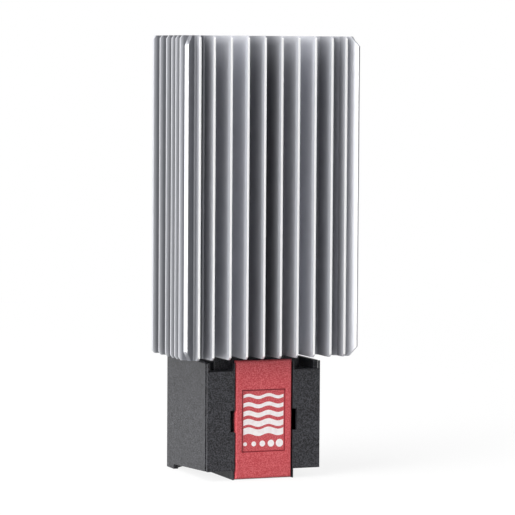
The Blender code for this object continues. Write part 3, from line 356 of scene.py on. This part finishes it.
@dataclass(frozen=True)
class ExtrudedAluminium:
    """Satin aluminium with faint die lines, a painted highlight on the fins' tips and painted shade in
    the channels.

    The painted shade grows with depth behind the tips, more in some channels than in others, and the
    left web's corner has more of it.
    """

    name: str = "extruded_aluminium"
    light: Colour = (0.79, 0.8, 0.84)
    dark: Colour = (0.71, 0.72, 0.765)
    # Painted shade: the colour that the channels darken to, away from the tips.
    shade_paint: Colour = (0.24, 0.245, 0.268)
    # Painted highlight: the near-white colour painted on the fins' tips.
    tip_highlight: Colour = (0.97, 0.97, 0.97)
    metallic: float = 0.5
    tip_paleness: float = 0.25
    roughness: float = 0.3
    unevenness: float = 0.06
    lines_per_metre: float = 2600.0
    line_stretch: float = 0.004
    line_share: float = 0.45
    clouds_per_metre: float = 60.0
    cloud_stretch: float = 0.25
    cloud_share: float = 0.55
    grains_per_metre: float = 9000.0
    line_depth: float = 0.000003
    line_rise: float = 0.8
    grain_rise: float = 0.2
    relief: float = 0.6
    tip_reach: float = 0.0003
    tip_ends: float = 1.5
    channel_depth: float = 0.010
    falloff: float = 0.6
    side_depth: float = 0.0014
    web_leg: float = 0.00094
    shallowest: float = 0.0005
    corner_width: float = 0.0053
    drift: float = 0.5
    drift_period: float = 0.025
    drift_place: float = -0.0125

    def depths(self, graph: Graph) -> tuple[Signal, Signal, Signal]:
        """Measure a place on the extrusion.

        Args:
            graph: The material's tree.

        Returns:
            Its X, its depth behind the sides, and its depth behind the front or the rear.
        """
        low, high = extent(NODES["heat_sink"])
        x, y, _ = graph.axes()
        return x, high.x - x.size(), (y - low.y).lower(high.y - y)

    def painted_shade(self, x: Signal, beside: Signal, behind: Signal) -> Signal:
        """Work out how much painted shade a place takes.

        Args:
            x: Its X.
            beside: Its depth behind the sides.
            behind: Its depth behind the front or the rear.

        Returns:
            The painted shade, from 0 at the tips to 1 far into the channels.
        """
        # Painted shade, swinging along X so that some channels get more than others.
        drift = ((x - self.drift_place) * (math.tau / self.drift_period) + math.pi / 2).sine()
        fall = (behind / self.channel_depth).clamped() ** self.falloff
        across = fall * (1.0 - self.drift - drift * self.drift)
        floor = (beside - self.web_leg).higher(self.shallowest)
        # More painted shade in the corner beside the left web.
        corner = (behind / floor).clamped() * (beside < self.corner_width) * (x < 0.0)
        return (beside / self.side_depth).lower(across.higher(corner)).clamped()

    def material(self) -> bpy.types.Material:
        """Build the finish.

        Returns:
            The finished material.
        """
        graph = Graph(self.name)
        lines = graph.noise(self.lines_per_metre, detail=2.0, stretch=(1.0, 1.0, self.line_stretch))
        cloud = graph.noise(self.clouds_per_metre, detail=3.0, stretch=(1.0, 1.0, self.cloud_stretch))
        grain = graph.noise(self.grains_per_metre, detail=1.0)
        tone = (lines * self.line_share + cloud * self.cloud_share).clamped()
        x, beside, behind = self.depths(graph)
        # Painted shade darkens the channels away from the tips.
        shade_mask = self.painted_shade(x, beside, behind)
        body = graph.blend(shade_mask, graph.blend(tone, self.dark, self.light), self.shade_paint)
        # Painted highlight on the tips, which are also made less metallic there.
        tip = (self.tip_ends - behind / self.tip_reach).clamped()
        graph.surface(
            Base_Color=graph.blend(tip, body, self.tip_highlight),
            Metallic=self.metallic - tip * self.tip_paleness,
            Roughness=self.roughness + lines * self.unevenness + cloud * self.unevenness,
        )
        graph.bump(lines * self.line_rise + grain * self.grain_rise, self.line_depth, self.relief)
        return graph.material


@dataclass(frozen=True)
class MouldedPlastic:
    """Moulded plastic with the fine spark-eroded grain of its mould.

    A panel, given as its half width, bottom and top, has a painted shadow line along the inside of its
    edge.
    """

    name: str
    base: Colour
    speck: Colour
    roughness: float = 0.5
    roughness_swing: float = 0.16
    grains_per_metre: float = 2200.0
    grain_depth: float = 0.00008
    speck_start: float = 0.42
    speck_gain: float = 5.0
    speck_share: float = 0.9
    patches_per_metre: float = 140.0
    patch_share: float = 0.1
    sheen: float = 0.0
    panel: Triple | None = None
    # Painted shadow: the dark red of the line inside the panel's edge.
    panel_shadow_colour: Colour = (0.2, 0.012, 0.02)
    line_place: float = 0.0002
    line_reach: float = 0.0002
    line_ends: float = 1.5

    def panel_shadow_line(self, graph: Graph) -> Signal:
        """Find the painted shadow line along the inside of the panel's edge.

        Args:
            graph: The material's tree.

        Returns:
            1 on the line and 0 away from it.
        """
        half_width, bottom, top = self.panel
        x, _, z = graph.axes()
        beyond = (x.size() - half_width).higher((z - (bottom + top) / 2).size() - (top - bottom) / 2)
        return (self.line_ends - (beyond + self.line_place).size() / self.line_reach).clamped()

    def material(self) -> bpy.types.Material:
        """Build the finish.

        Returns:
            The finished material.
        """
        graph = Graph(self.name)
        grain = graph.noise(self.grains_per_metre, detail=2.0, roughness=0.6)
        patch = graph.noise(self.patches_per_metre, detail=2.0)
        specks = ((grain - self.speck_start) * self.speck_gain).clamped()
        shade = (specks * self.speck_share + patch * self.patch_share).clamped()
        colour = graph.blend(shade, self.base, self.speck)
        # Painted shadow along the inside of the panel's edge.
        if self.panel:
            colour = graph.blend(self.panel_shadow_line(graph), colour, self.panel_shadow_colour)
        graph.surface(
            Base_Color=colour,
            Roughness=self.roughness + grain * self.roughness_swing - self.roughness_swing / 2,
            Coat_Weight=specks * self.sheen,
        )
        graph.bump(grain, self.grain_depth)
        return graph.material


@dataclass(frozen=True)
class PrintedInk:
    """Pad-printed ink, slightly thinner here and there."""

    name: str = "white_print"
    ink: Colour = (0.9, 0.87, 0.87)
    thin: Colour = (0.84, 0.76, 0.76)
    spots_per_metre: float = 900.0
    spot_start: float = 0.3
    spot_gain: float = 3.0
    roughness: float = 0.42
    roughness_swing: float = 0.1
    depth: float = 0.00001
    relief: float = 0.4

    def material(self) -> bpy.types.Material:
        """Build the finish.

        Returns:
            The finished material.
        """
        graph = Graph(self.name)
        spots = graph.noise(self.spots_per_metre, detail=3.0)
        cover = ((spots - self.spot_start) * self.spot_gain).clamped()
        graph.surface(
            Base_Color=graph.blend(cover, self.thin, self.ink),
            Roughness=self.roughness + cover * self.roughness_swing,
        )
        graph.bump(cover, self.depth, self.relief)
        return graph.material


@dataclass(frozen=True)
class PlatedMetal:
    """Stamped or plated metal with fine rolling lines and a cloudy tone."""

    name: str
    light: Colour
    dark: Colour
    roughness: float = 0.28
    rolling: Triple = (1.0, 1.0, 0.08)
    roughness_swing: float = 0.12
    lines_per_metre: float = 5200.0
    clouds_per_metre: float = 420.0
    cloud_gain: float = 1.4
    cloud_start: float = 0.2
    line_depth: float = 0.00001
    relief: float = 0.5

    def material(self) -> bpy.types.Material:
        """Build the finish.

        Returns:
            The finished material.
        """
        graph = Graph(self.name)
        lines = graph.noise(self.lines_per_metre, detail=2.0, stretch=self.rolling)
        cloud = graph.noise(self.clouds_per_metre, detail=3.0)
        tone = (cloud * self.cloud_gain - self.cloud_start).clamped()
        graph.surface(
            Base_Color=graph.blend(tone, self.dark, self.light),
            Metallic=1.0,
            Roughness=self.roughness + cloud * self.roughness_swing,
        )
        graph.bump(lines, self.line_depth, self.relief)
        return graph.material


@dataclass(frozen=True)
class SinteredCeramic:
    """Unglazed heating ceramic with a dark, granular surface."""

    name: str = "sintered_ceramic"
    dark: Colour = (0.17, 0.155, 0.15)
    light: Colour = (0.31, 0.29, 0.275)
    roughness: float = 0.72
    roughness_swing: float = 0.15
    grains_per_metre: float = 5200.0
    grain_depth: float = 0.00005
    relief: float = 0.8

    def material(self) -> bpy.types.Material:
        """Build the finish.

        Returns:
            The finished material.
        """
        graph = Graph(self.name)
        grain = graph.noise(self.grains_per_metre, detail=3.0)
        graph.surface(
            Base_Color=graph.blend(grain, self.dark, self.light),
            Roughness=self.roughness + grain * self.roughness_swing,
        )
        graph.bump(grain, self.grain_depth, self.relief)
        return graph.material


@dataclass(frozen=True)
class SoftRubber:
    """Rubber or silicone, dull, with a dusty bloom."""

    name: str
    base: Colour
    bloom: Colour
    roughness: float = 0.62
    roughness_swing: float = 0.2
    specks_per_metre: float = 700.0
    bloom_gain: float = 1.5
    bloom_start: float = 0.35
    dust_depth: float = 0.00003
    relief: float = 0.5

    def material(self) -> bpy.types.Material:
        """Build the finish.

        Returns:
            The finished material.
        """
        graph = Graph(self.name)
        dust = graph.noise(self.specks_per_metre, detail=4.0)
        bloomed = (dust * self.bloom_gain - self.bloom_start).clamped()
        graph.surface(
            Base_Color=graph.blend(bloomed, self.base, self.bloom),
            Roughness=self.roughness + dust * self.roughness_swing,
        )
        graph.bump(dust, self.dust_depth, self.relief)
        return graph.material


@dataclass(frozen=True)
class AmberFilm:
    """Thin polyimide film, glossy over faint wrinkles."""

    name: str = "amber_film"
    thick: Colour = (0.44, 0.17, 0.02)
    thin: Colour = (0.66, 0.34, 0.06)
    roughness: float = 0.2
    roughness_swing: float = 0.15
    gloss: float = 0.6
    wrinkles_per_metre: float = 380.0
    wrinkle_stretch: float = 0.3
    wrinkle_depth: float = 0.00008
    relief: float = 0.5

    def material(self) -> bpy.types.Material:
        """Build the finish.

        Returns:
            The finished material.
        """
        graph = Graph(self.name)
        stretch = (1.0, 1.0, self.wrinkle_stretch)
        wrinkle = graph.noise(self.wrinkles_per_metre, detail=2.0, stretch=stretch)
        graph.surface(
            Base_Color=graph.blend(wrinkle, self.thick, self.thin),
            Roughness=self.roughness + wrinkle * self.roughness_swing,
            Coat_Weight=self.gloss,
        )
        graph.bump(wrinkle, self.wrinkle_depth, self.relief)
        return graph.material


@dataclass(frozen=True)
class LeadSleeve:
    """A lead's insulation, in one colour or with a stripe that runs round it."""

    name: str
    base: Colour
    stripe: Colour | None = None
    turns_per_metre: float = 900.0
    stripe_slant: float = 0.6
    stripe_start: float = 0.15
    haze_per_metre: float = 2400.0
    haze_gain: float = 1.35
    haze_depth: float = 0.00001
    roughness: float = 0.36
    roughness_swing: float = 0.12
    relief: float = 0.4

    def material(self) -> bpy.types.Material:
        """Build the finish.

        Returns:
            The finished material.
        """
        graph = Graph(self.name)
        haze = graph.noise(self.haze_per_metre, detail=2.0)
        hazy = tuple(min(1.0, self.haze_gain * channel) for channel in self.base)
        colour: object = graph.blend(haze, self.base, hazy)
        if self.stripe:
            x, _, z = graph.axes()
            band = ((x + z * self.stripe_slant) * self.turns_per_metre).sine() > self.stripe_start
            colour = graph.blend(band, colour, self.stripe)
        graph.surface(Base_Color=colour, Roughness=self.roughness + haze * self.roughness_swing)
        graph.bump(haze, self.haze_depth, self.relief)
        return graph.material


class Part(Enum):
    """The object's finishes, named for what they cover or what they are."""

    SINK = ExtrudedAluminium()
    WEDGE = PlatedMetal("rolled_aluminium", (0.78, 0.78, 0.79), (0.62, 0.62, 0.64))
    BASE = MouldedPlastic(
        "grained_black",
        (0.002, 0.002, 0.003),
        (0.052, 0.053, 0.063),
        roughness=0.42,
        grains_per_metre=2300.0,
        sheen=0.35,
    )
    COVER = MouldedPlastic(
        "grained_red",
        (0.47, 0.045, 0.055),
        (0.67, 0.14, 0.155),
        grains_per_metre=2500.0,
        grain_depth=0.00006,
        # The recessed field, whose edge gets a painted shadow line.
        panel=(0.0082, 0.0096, 0.0316),
    )
    TERMINALS = MouldedPlastic("moulded_grey", (0.34, 0.35, 0.36), (0.5, 0.51, 0.52))
    PRINT = PrintedInk()
    BRASS = PlatedMetal("stamped_brass", (0.86, 0.66, 0.32), (0.62, 0.42, 0.16))
    ZINC = PlatedMetal("zinc_plate", (0.8, 0.81, 0.83), (0.55, 0.57, 0.6), 0.3, rolling=EVEN)
    TIN = PlatedMetal("tin_plate", (0.86, 0.85, 0.82), (0.66, 0.65, 0.63), 0.34, rolling=EVEN)
    STONE = SinteredCeramic()
    PLUG = SoftRubber("plug_silicone", (0.72, 0.7, 0.66), (0.86, 0.85, 0.82), 0.5)
    GROMMET = SoftRubber("grommet_rubber", (0.012, 0.012, 0.012), (0.045, 0.045, 0.045))
    SLEEVE = AmberFilm()
    LIVE = LeadSleeve("brown_lead", (0.13, 0.045, 0.018))
    NEUTRAL = LeadSleeve("blue_lead", (0.02, 0.07, 0.38))
    EARTH = LeadSleeve("green_lead", (0.03, 0.26, 0.05), (0.85, 0.7, 0.05))

    @property
    def material(self) -> bpy.types.Material:
        """The finish's material, made when it is first asked for."""
        made = bpy.data.materials.get(self.value.name)
        return made or self.value.material()


def extent(node: bpy.types.Object) -> tuple[Vector, Vector]:
    """Measure a node's box.

    Args:
        node: The node, with its place in its mesh.

    Returns:
        The box's lowest and highest corner.
    """
    points = [node.matrix_world @ vertex.co for vertex in node.data.vertices]
    low = Vector(min(point[axis] for point in points) for axis in range(3))
    high = Vector(max(point[axis] for point in points) for axis in range(3))
    return low, high


def dress(node: str, part: Part) -> None:
    """Give a CAD node its finish.

    Args:
        node: The node's name.
        part: The finish.
    """
    materials = NODES[node].data.materials
    materials.clear()
    materials.append(part.material)
    LOG.info("%s: %s", node, part.value.name)


def adopt(mesh: bpy.types.Mesh, name: str, part: Part, slot: str, *stands_for: str) -> bpy.types.Object:
    """Make a finished mesh a piece of the object.

    Args:
        mesh: The mesh, in its place.
        name: The piece's name.
        part: Its finish.
        slot: Not used.
        stands_for: The CAD nodes that it replaces.

    Returns:
        The piece.
    """
    mesh.materials.clear()
    mesh.materials.append(part.material)
    piece = bpy.data.objects.new(name, mesh)
    bpy.context.scene.collection.objects.link(piece)
    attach(piece, BODY)
    if stands_for:
        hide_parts(*stands_for)
    LOG.info("%s: %s, %d faces", name, part.value.name, len(mesh.polygons))
    return piece


def applied(draft: bpy.types.Object) -> bpy.types.Mesh:
    """Turn an object with modifiers into a plain mesh in its place, and remove the object.

    Args:
        draft: The object.

    Returns:
        The mesh.
    """
    bpy.context.view_layer.update()
    depsgraph = bpy.context.evaluated_depsgraph_get()
    mesh = bpy.data.meshes.new_from_object(draft.evaluated_get(depsgraph))
    mesh.transform(draft.matrix_world)
    bpy.data.objects.remove(draft, do_unlink=True)
    return mesh


@dataclass
class SoftEdges:
    """Breaks a CAD node's sharp edges as moulding or tumbling would."""

    width: float
    segments: int = 2
    sharper_than: float = 30.0
    flatter_than: float = 1.0
    closer_than: float = 0.000002
    face_weight: int = 100

    def piece(self, node: str, part: Part, slot: str) -> bpy.types.Object:
        """Make the softened piece that stands for a node.

        Args:
            node: The CAD node's name.
            part: The finish.
            slot: Passed on to adopt, which does not use it.

        Returns:
            The piece.
        """
        mesh = NODES[node].data.copy()
        solid = bmesh.new()
        solid.from_mesh(mesh)
        bmesh.ops.remove_doubles(solid, verts=solid.verts, dist=self.closer_than)
        flat = math.radians(self.flatter_than)
        bmesh.ops.dissolve_limit(solid, angle_limit=flat, verts=solid.verts, edges=solid.edges)
        solid.to_mesh(mesh)
        solid.free()
        draft = bpy.data.objects.new(node + "_draft", mesh)
        bpy.context.scene.collection.objects.link(draft)
        bevel = draft.modifiers.new("edges", "BEVEL")
        bevel.width = self.width
        bevel.segments = self.segments
        bevel.limit_method = "ANGLE"
        bevel.angle_limit = math.radians(self.sharper_than)
        bevel.use_clamp_overlap = True
        mesh.shade_smooth()
        weigh = draft.modifiers.new("faces", "WEIGHTED_NORMAL")
        weigh.weight = self.face_weight
        return adopt(applied(draft), node + "_soft", part, slot, node)


class Studio:
    """The floor, the white surroundings, the lamps and the camera."""

    def build(self) -> None:
        """Set up everything round the object."""
        Surroundings().build()
        Floor().build()
        for light in (*LAMPS, *CARDS):
            light.build()
        Camera().build()
        bpy.context.scene.view_settings.view_transform = "Standard"


@dataclass
class Surroundings:
    """A white background for the camera and for mirrors, and a softer white that lights the object."""

    seen: float = 1.0
    mirrored: float = 0.85
    lighting: float = 0.18

    def build(self) -> None:
        """Make the world."""
        world = bpy.data.worlds.new("surroundings")
        bpy.context.scene.world = world
        world.use_nodes = True
        sheet = NodeSheet(world.node_tree)
        background = sheet.tree.nodes["Background"]
        sheet.feed(background.inputs["Color"], (1.0, 1.0, 1.0))
        path = sheet.node("ShaderNodeLightPath")
        level: object = self.lighting
        for ray, strength in (
            ("Is Glossy Ray", self.mirrored),
            ("Is Transmission Ray", self.seen),
            ("Is Camera Ray", self.seen),
        ):
            pick = sheet.node("ShaderNodeMix", None, {0: path.outputs[ray], 2: level, 3: strength})
            level = pick.outputs[0]
        sheet.feed(background.inputs["Strength"], level)


@dataclass
class DarkCard:
    """A dark upright card round the object, which only mirrors see, to give the metal its contrast."""

    name: str
    azimuth: float
    width: float
    top: float
    bottom: float = -0.6
    distance: float = 1.9
    shade: float = 0.02
    steps: int = 36

    def build(self) -> None:
        """Stand the card, bent round the object, through the floor."""
        mesh = bpy.data.meshes.new(self.name)
        card = bmesh.new()
        columns = []
        for step in range(self.steps + 1):
            turn = math.radians(self.azimuth + self.width * (step / self.steps - 0.5))
            x, y = self.distance * math.sin(turn), -self.distance * math.cos(turn)
            columns.append([card.verts.new((x, y, z)) for z in (self.bottom, self.top)])
        for first, second in zip(columns, columns[1:]):
            card.faces.new((first[0], second[0], second[1], first[1]))
        card.to_mesh(mesh)
        card.free()
        made = bpy.data.objects.new(self.name, mesh)
        bpy.context.scene.collection.objects.link(made)
        graph = Graph(self.name)
        graph.surface(Base_Color=(self.shade, self.shade, self.shade), Roughness=1.0)
        mesh.materials.append(graph.material)
        made.visible_camera = False
        made.visible_diffuse = False
        made.visible_shadow = False


@dataclass
class Floor:
    """A pale floor that fades into the background and keeps a faint shadow."""

    radius: float = 6.0
    paint: Colour = (0.45, 0.45, 0.45)
    seen_paint: Colour = (0.92, 0.92, 0.92)
    glow: float = 0.85
    fade_start: float = 0.25
    fade_length: float = 0.5
    mirrored: float = 0.4
    segments: int = 96
    clearance: float = 0.0001

    def build(self) -> None:
        """Make the floor disc and its material."""
        mesh = bpy.data.meshes.new("floor")
        disc = bmesh.new()
        bmesh.ops.create_circle(disc, cap_ends=True, segments=self.segments, radius=self.radius)
        bmesh.ops.translate(disc, verts=disc.verts, vec=(0.0, 0.0, -self.clearance))
        disc.to_mesh(mesh)
        disc.free()
        floor = bpy.data.objects.new("floor", mesh)
        bpy.context.scene.collection.objects.link(floor)
        graph = Graph("floor_paint")
        path = graph.node("ShaderNodeLightPath")
        camera = Signal(graph, path.outputs["Is Camera Ray"])
        paint = graph.blend(camera, self.paint, self.seen_paint)
        graph.surface(Base_Color=paint, Roughness=1.0, Specular_IOR_Level=0.0)
        x, y, _ = graph.axes()
        away = (x * x + y * y) ** 0.5
        fade = ((away - self.fade_start) / self.fade_length).clamped()
        seen = camera * (self.glow + fade * (1.0 - self.glow))
        through = Signal(graph, path.outputs["Is Transmission Ray"]) * self.glow
        mirrored = Signal(graph, path.outputs["Is Glossy Ray"]) * self.mirrored
        glow = graph.node("ShaderNodeEmission", None, {"Strength": 1.0})
        share = (seen + through + mirrored).clamped()
        mixed = {0: share, 1: graph.shader.outputs[0], 2: glow.outputs[0]}
        mix = graph.node("ShaderNodeMixShader", None, mixed)
        graph.feed(graph.output.inputs["Surface"], mix.outputs[0])
        mesh.materials.append(graph.material)


@dataclass
class Lamp:
    """A soft rectangular lamp aimed at a point of the object."""

    name: str
    place: Triple
    size: Pair
    watts: float
    in_mirrors: bool = True
    on_matte: bool = True
    aim: Triple = (0.0, 0.0, 0.08)

    def build(self) -> None:
        """Hang the lamp."""
        light = bpy.data.lights.new(self.name, "AREA")
        light.shape = "RECTANGLE"
        light.size, light.size_y = self.size
        light.energy = self.watts
        lamp = bpy.data.objects.new(self.name, light)
        lamp.location = self.place
        towards = Vector(self.aim) - Vector(self.place)
        lamp.rotation_mode = "QUATERNION"
        lamp.rotation_quaternion = towards.to_track_quat("-Z", "Y")
        lamp.visible_camera = False
        lamp.visible_glossy = self.in_mirrors
        lamp.visible_diffuse = self.on_matte
        bpy.context.scene.collection.objects.link(lamp)


LAMPS = (
    Lamp("front_fill", (-0.8, -0.96, 0.3), (0.5, 0.5), 4.6, in_mirrors=False),
    Lamp("tip_strip", (-0.2, -1.22, 0.25), (0.2, 1.2), 2.0, on_matte=False),
    Lamp("key_softbox", (-1.21, -0.32, 0.35), (0.7, 0.8), 6.2),
    Lamp("upper_softbox", (-1.05, -0.6, 0.6), (0.6, 0.6), 10.5, in_mirrors=False),
    Lamp("high_softbox", (-0.5, -0.2, 1.1), (0.9, 0.7), 10.5, in_mirrors=False),
    Lamp("right_fill", (1.2, 0.35, 0.5), (0.7, 0.9), 6.0, in_mirrors=False),
    Lamp("rear_fill", (0.1, 1.4, 0.5), (0.8, 0.9), 7.0, in_mirrors=False),
    Lamp("right_strip", (1.16, -0.31, 0.25), (0.16, 1.2), 2.0, on_matte=False),
)
CARDS = (DarkCard("front_card", azimuth=0.0, width=270.0, top=1.0),)


@dataclass
class Camera:
    """The photograph's camera, for a square picture."""

    azimuth: float = -21.0
    elevation: float = 3.82
    roll: float = 0.334
    distance: float = 1.078
    focal_px: float = 3037.0
    centre_px: Pair = (244.7, 254.9)
    picture_px: float = 515.0
    sensor_mm: float = 36.0
    nearest: float = 0.05
    farthest: float = 10.0
    target: Triple = (0.0, 0.0, 0.0775)

    def build(self) -> None:
        """Make the camera and use it."""
        azimuth, elevation, roll = (math.radians(v) for v in (self.azimuth, self.elevation, self.roll))
        ahead = Vector(
            (
                -math.sin(azimuth) * math.cos(elevation),
                math.cos(azimuth) * math.cos(elevation),
                -math.sin(elevation),
            )
        )
        level = Vector((math.cos(azimuth), math.sin(azimuth), 0.0))
        above = level.cross(ahead)
        right = math.cos(roll) * level + math.sin(roll) * above
        up = math.cos(roll) * above - math.sin(roll) * level
        data = bpy.data.cameras.new("camera")
        data.sensor_width = self.sensor_mm
        data.lens = self.focal_px / self.picture_px * data.sensor_width
        data.shift_x = (self.picture_px / 2 - self.centre_px[0]) / self.picture_px
        data.shift_y = (self.centre_px[1] - self.picture_px / 2) / self.picture_px
        data.clip_start, data.clip_end = self.nearest, self.farthest
        camera = bpy.data.objects.new("camera", data)
        turn = Matrix((right, up, -ahead)).transposed().to_4x4()
        camera.matrix_world = Matrix.Translation(Vector(self.target) - self.distance * ahead) @ turn
        bpy.context.scene.collection.objects.link(camera)
        bpy.context.scene.camera = camera


@dataclass
class HeatSink:
    """The finned extrusion, with the fine lines that its die left along the front fins."""

    edge: float = 0.00024
    fins: int = 8
    fin_pitch: float = 0.00625
    fin_tip: float = 0.00068
    fin_taper: float = 0.018
    line_depths: Pair = (0.0014, 0.0021)
    line_width: float = 0.00016
    line_height: float = 0.00004
    end_margin: float = 0.0021

    def build(self) -> None:
        """Round the fins' tips, draw the lines and give the extrusion its finish."""
        SoftEdges(self.edge, 3).piece("heat_sink", Part.SINK, "satin_aluminium")
        adopt(self.drawn_lines(), "die_lines", Part.SINK, "satin_aluminium")

    def drawn_lines(self) -> bpy.types.Mesh:
        """Draw the raised lines on both faces of the middle fins.

        Returns:
            The lines' mesh.
        """
        low, high = extent(NODES["heat_sink"])
        recipe = Recipe(
            "die_lines",
            Fins=self.fins,
            Pitch=self.fin_pitch,
            Width=self.line_width,
            Height=self.line_height,
            Length=high.z - low.z - 2 * self.end_margin,
        )
        pitch = recipe.size("Pitch")
        unit = recipe.node("GeometryNodeMeshCube").outputs[0]
        bar = recipe.vector(recipe.size("Height") * 2.0, recipe.size("Width"), recipe.size("Length"))
        rows = []
        for depth in self.line_depths:
            half = self.fin_tip / 2 + self.fin_taper * depth
            for face in (-half, half):
                first = (recipe.size("Fins") - 1.0) * pitch * -0.5 + face
                start = recipe.vector(first, low.y + depth, (low.z + high.z) / 2)
                points = recipe.row(recipe.size("Fins"), start, recipe.vector(pitch))
                rows.append(recipe.copies(points, unit, bar))
        return recipe.mesh(rows, Part.SINK)


@dataclass
class HeatingStack:
    """Stones, strips, sleeve, wedge and plugs in the chamber."""

    def build(self) -> None:
        """Give each piece its finish."""
        for number in range(3):
            dress(f"ptc_stone_{number + 1}", Part.STONE)
        for node in ("contact_strip_front", "contact_strip_rear"):
            dress(node, Part.BRASS)
        dress("insulating_sleeve", Part.SLEEVE)
        dress("clamping_wedge", Part.WEDGE)
        for node in ("chamber_plug_top", "chamber_plug_bottom"):
            dress(node, Part.PLUG)


@dataclass
class TerminalBase:
    """The black base with its carrier, grommet and clip."""

    edge: float = 0.00025

    def build(self) -> None:
        """Soften and dress the mouldings."""
        soft = SoftEdges(self.edge)
        for node in ("base_shell", "front_carrier", "rail_clip"):
            soft.piece(node, Part.BASE, "black_polyamide")
        dress("entry_grommet", Part.GROMMET)


@dataclass
class RedCover:
    """The red cover with the print in its recessed field."""

    edge: float = 0.00012
    recess: float = 0.0005
    ink: float = 0.00005
    field_bottom: float = 0.0093
    print_width: float = 0.0150
    waves: int = 5
    wave_bottom: float = 0.0072
    wave_pitch: float = 0.0031
    wave_length: float = 0.0075
    wave_swing: float = 0.00045
    thickest: float = 0.0023
    thinnest: float = 0.0011
    dots: int = 5
    dot_middle: float = 0.0029
    smallest_dot: float = 0.0007
    largest_dot: float = 0.0014
    wave_steps: int = 61
    dot_sides: int = 32

    def build(self) -> None:
        """Soften the cover and print its field."""
        SoftEdges(self.edge).piece("red_cover", Part.COVER, "red_plastic")
        adopt(self.field_print(), "cover_print", Part.PRINT, "red_plastic")

    def field_print(self) -> bpy.types.Mesh:
        """Print the field's plain motif: waves that thin out upwards over a row of dots.

        Returns:
            The print's mesh.
        """
        low, _ = extent(NODES["red_cover"])
        recipe = Recipe(
            "cover_print",
            Waves=self.waves,
            Dots=self.dots,
            Width=self.print_width,
            Pitch=self.wave_pitch,
            Swing=self.wave_swing,
            Thickest=self.thickest,
            Thinnest=self.thinnest,
            Smallest=self.smallest_dot,
            Largest=self.largest_dot,
            Ink=self.ink,
        )
        surface = low.y + self.recess
        bottom = low.z + self.field_bottom
        bars = self.bent_bars(recipe, surface, bottom + self.wave_bottom)
        dots = self.dot_row(recipe, surface, bottom + self.dot_middle)
        return recipe.mesh([bars, dots], Part.PRINT)

    def bent_bars(self, recipe: Recipe, surface: float, bottom: float) -> bpy.types.NodeSocket:
        """Bend a column of bars to waves.

        Args:
            recipe: The print's tree.
            surface: The Y of the field's ground.
            bottom: The Z of the lowest bar's middle.

        Returns:
            The bars.
        """
        waves = recipe.size("Waves")
        cells = {"Vertices X": self.wave_steps, "Vertices Y": 2, "Vertices Z": 2}
        strip = recipe.node("GeometryNodeMeshCube", None, cells).outputs[0]
        start = recipe.vector(0.0, surface, bottom)
        points = recipe.row(waves, start, recipe.vector(z=recipe.size("Pitch")))
        thickest, thinnest = recipe.size("Thickest"), recipe.size("Thinnest")
        thickness = thickest + (thinnest - thickest) * recipe.share(waves)
        bar = recipe.vector(recipe.size("Width"), recipe.size("Ink"), thickness)
        straight = recipe.copies(points, strip, bar)
        position = recipe.node("GeometryNodeInputPosition").outputs[0]
        place = recipe.node("ShaderNodeSeparateXYZ", None, {0: position})
        x = Signal(recipe, place.outputs["X"])
        lift = (x * (math.tau / self.wave_length)).sine() * recipe.size("Swing")
        moved = {"Geometry": straight, "Offset": recipe.vector(z=lift)}
        return recipe.node("GeometryNodeSetPosition", None, moved).outputs[0]

    def dot_row(self, recipe: Recipe, surface: float, middle: float) -> bpy.types.NodeSocket:
        """Set out a row of dots that grow from left to right.

        Args:
            recipe: The print's tree.
            surface: The Y of the field's ground.
            middle: The Z of the dots' middles.

        Returns:
            The dots.
        """
        dots, width, ink = (recipe.size(name) for name in ("Dots", "Width", "Ink"))
        cylinder = {"Vertices": self.dot_sides, "Radius": 1.0, "Depth": 1.0}
        disc = recipe.node("GeometryNodeMeshCylinder", None, cylinder).outputs[0]
        smallest, largest = recipe.size("Smallest"), recipe.size("Largest")
        radius = smallest + (largest - smallest) * recipe.share(dots)
        start = recipe.vector(smallest - width / 2.0, surface, middle)
        step = (width - smallest - largest) / (dots - 1.0)
        points = recipe.row(dots, start, recipe.vector(step))
        upright = (math.pi / 2, 0.0, 0.0)
        return recipe.copies(points, disc, recipe.vector(radius, radius, ink), upright)


@dataclass
class Wiring:
    """Terminals, leads and the earth connection."""

    def build(self) -> None:
        """Give each piece its finish."""
        dress("terminal_block", Part.TERMINALS)
        for pole, part in (("live", Part.LIVE), ("neutral", Part.NEUTRAL), ("earth", Part.EARTH)):
            dress(f"clamp_bar_{pole}", Part.BRASS)
            dress(f"clamp_spring_{pole}", Part.ZINC)
            dress(f"lead_{pole}", part)
        dress("earth_lug", Part.TIN)
        dress("earth_screw", Part.BRASS)


@dataclass
class Fasteners:
    """The screws and washers."""

    def build(self) -> None:
        """Give each screw and washer its finish."""
        for hand in ("left", "right"):
            for kind in ("sink_screw", "sink_washer", "carrier_screw", "clip_screw"):
                dress(f"{kind}_{hand}", Part.ZINC)


def main() -> None:
    """Dress the heater, piece by piece, and set up the studio."""
    logging.basicConfig(level=logging.INFO)
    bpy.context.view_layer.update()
    for assembly in (HeatSink(), HeatingStack(), TerminalBase(), RedCover(), Wiring(), Fasteners()):
        assembly.build()
        LOG.info("%s built", type(assembly).__name__)
    Studio().build()


if __name__ == "__main__":
    main()
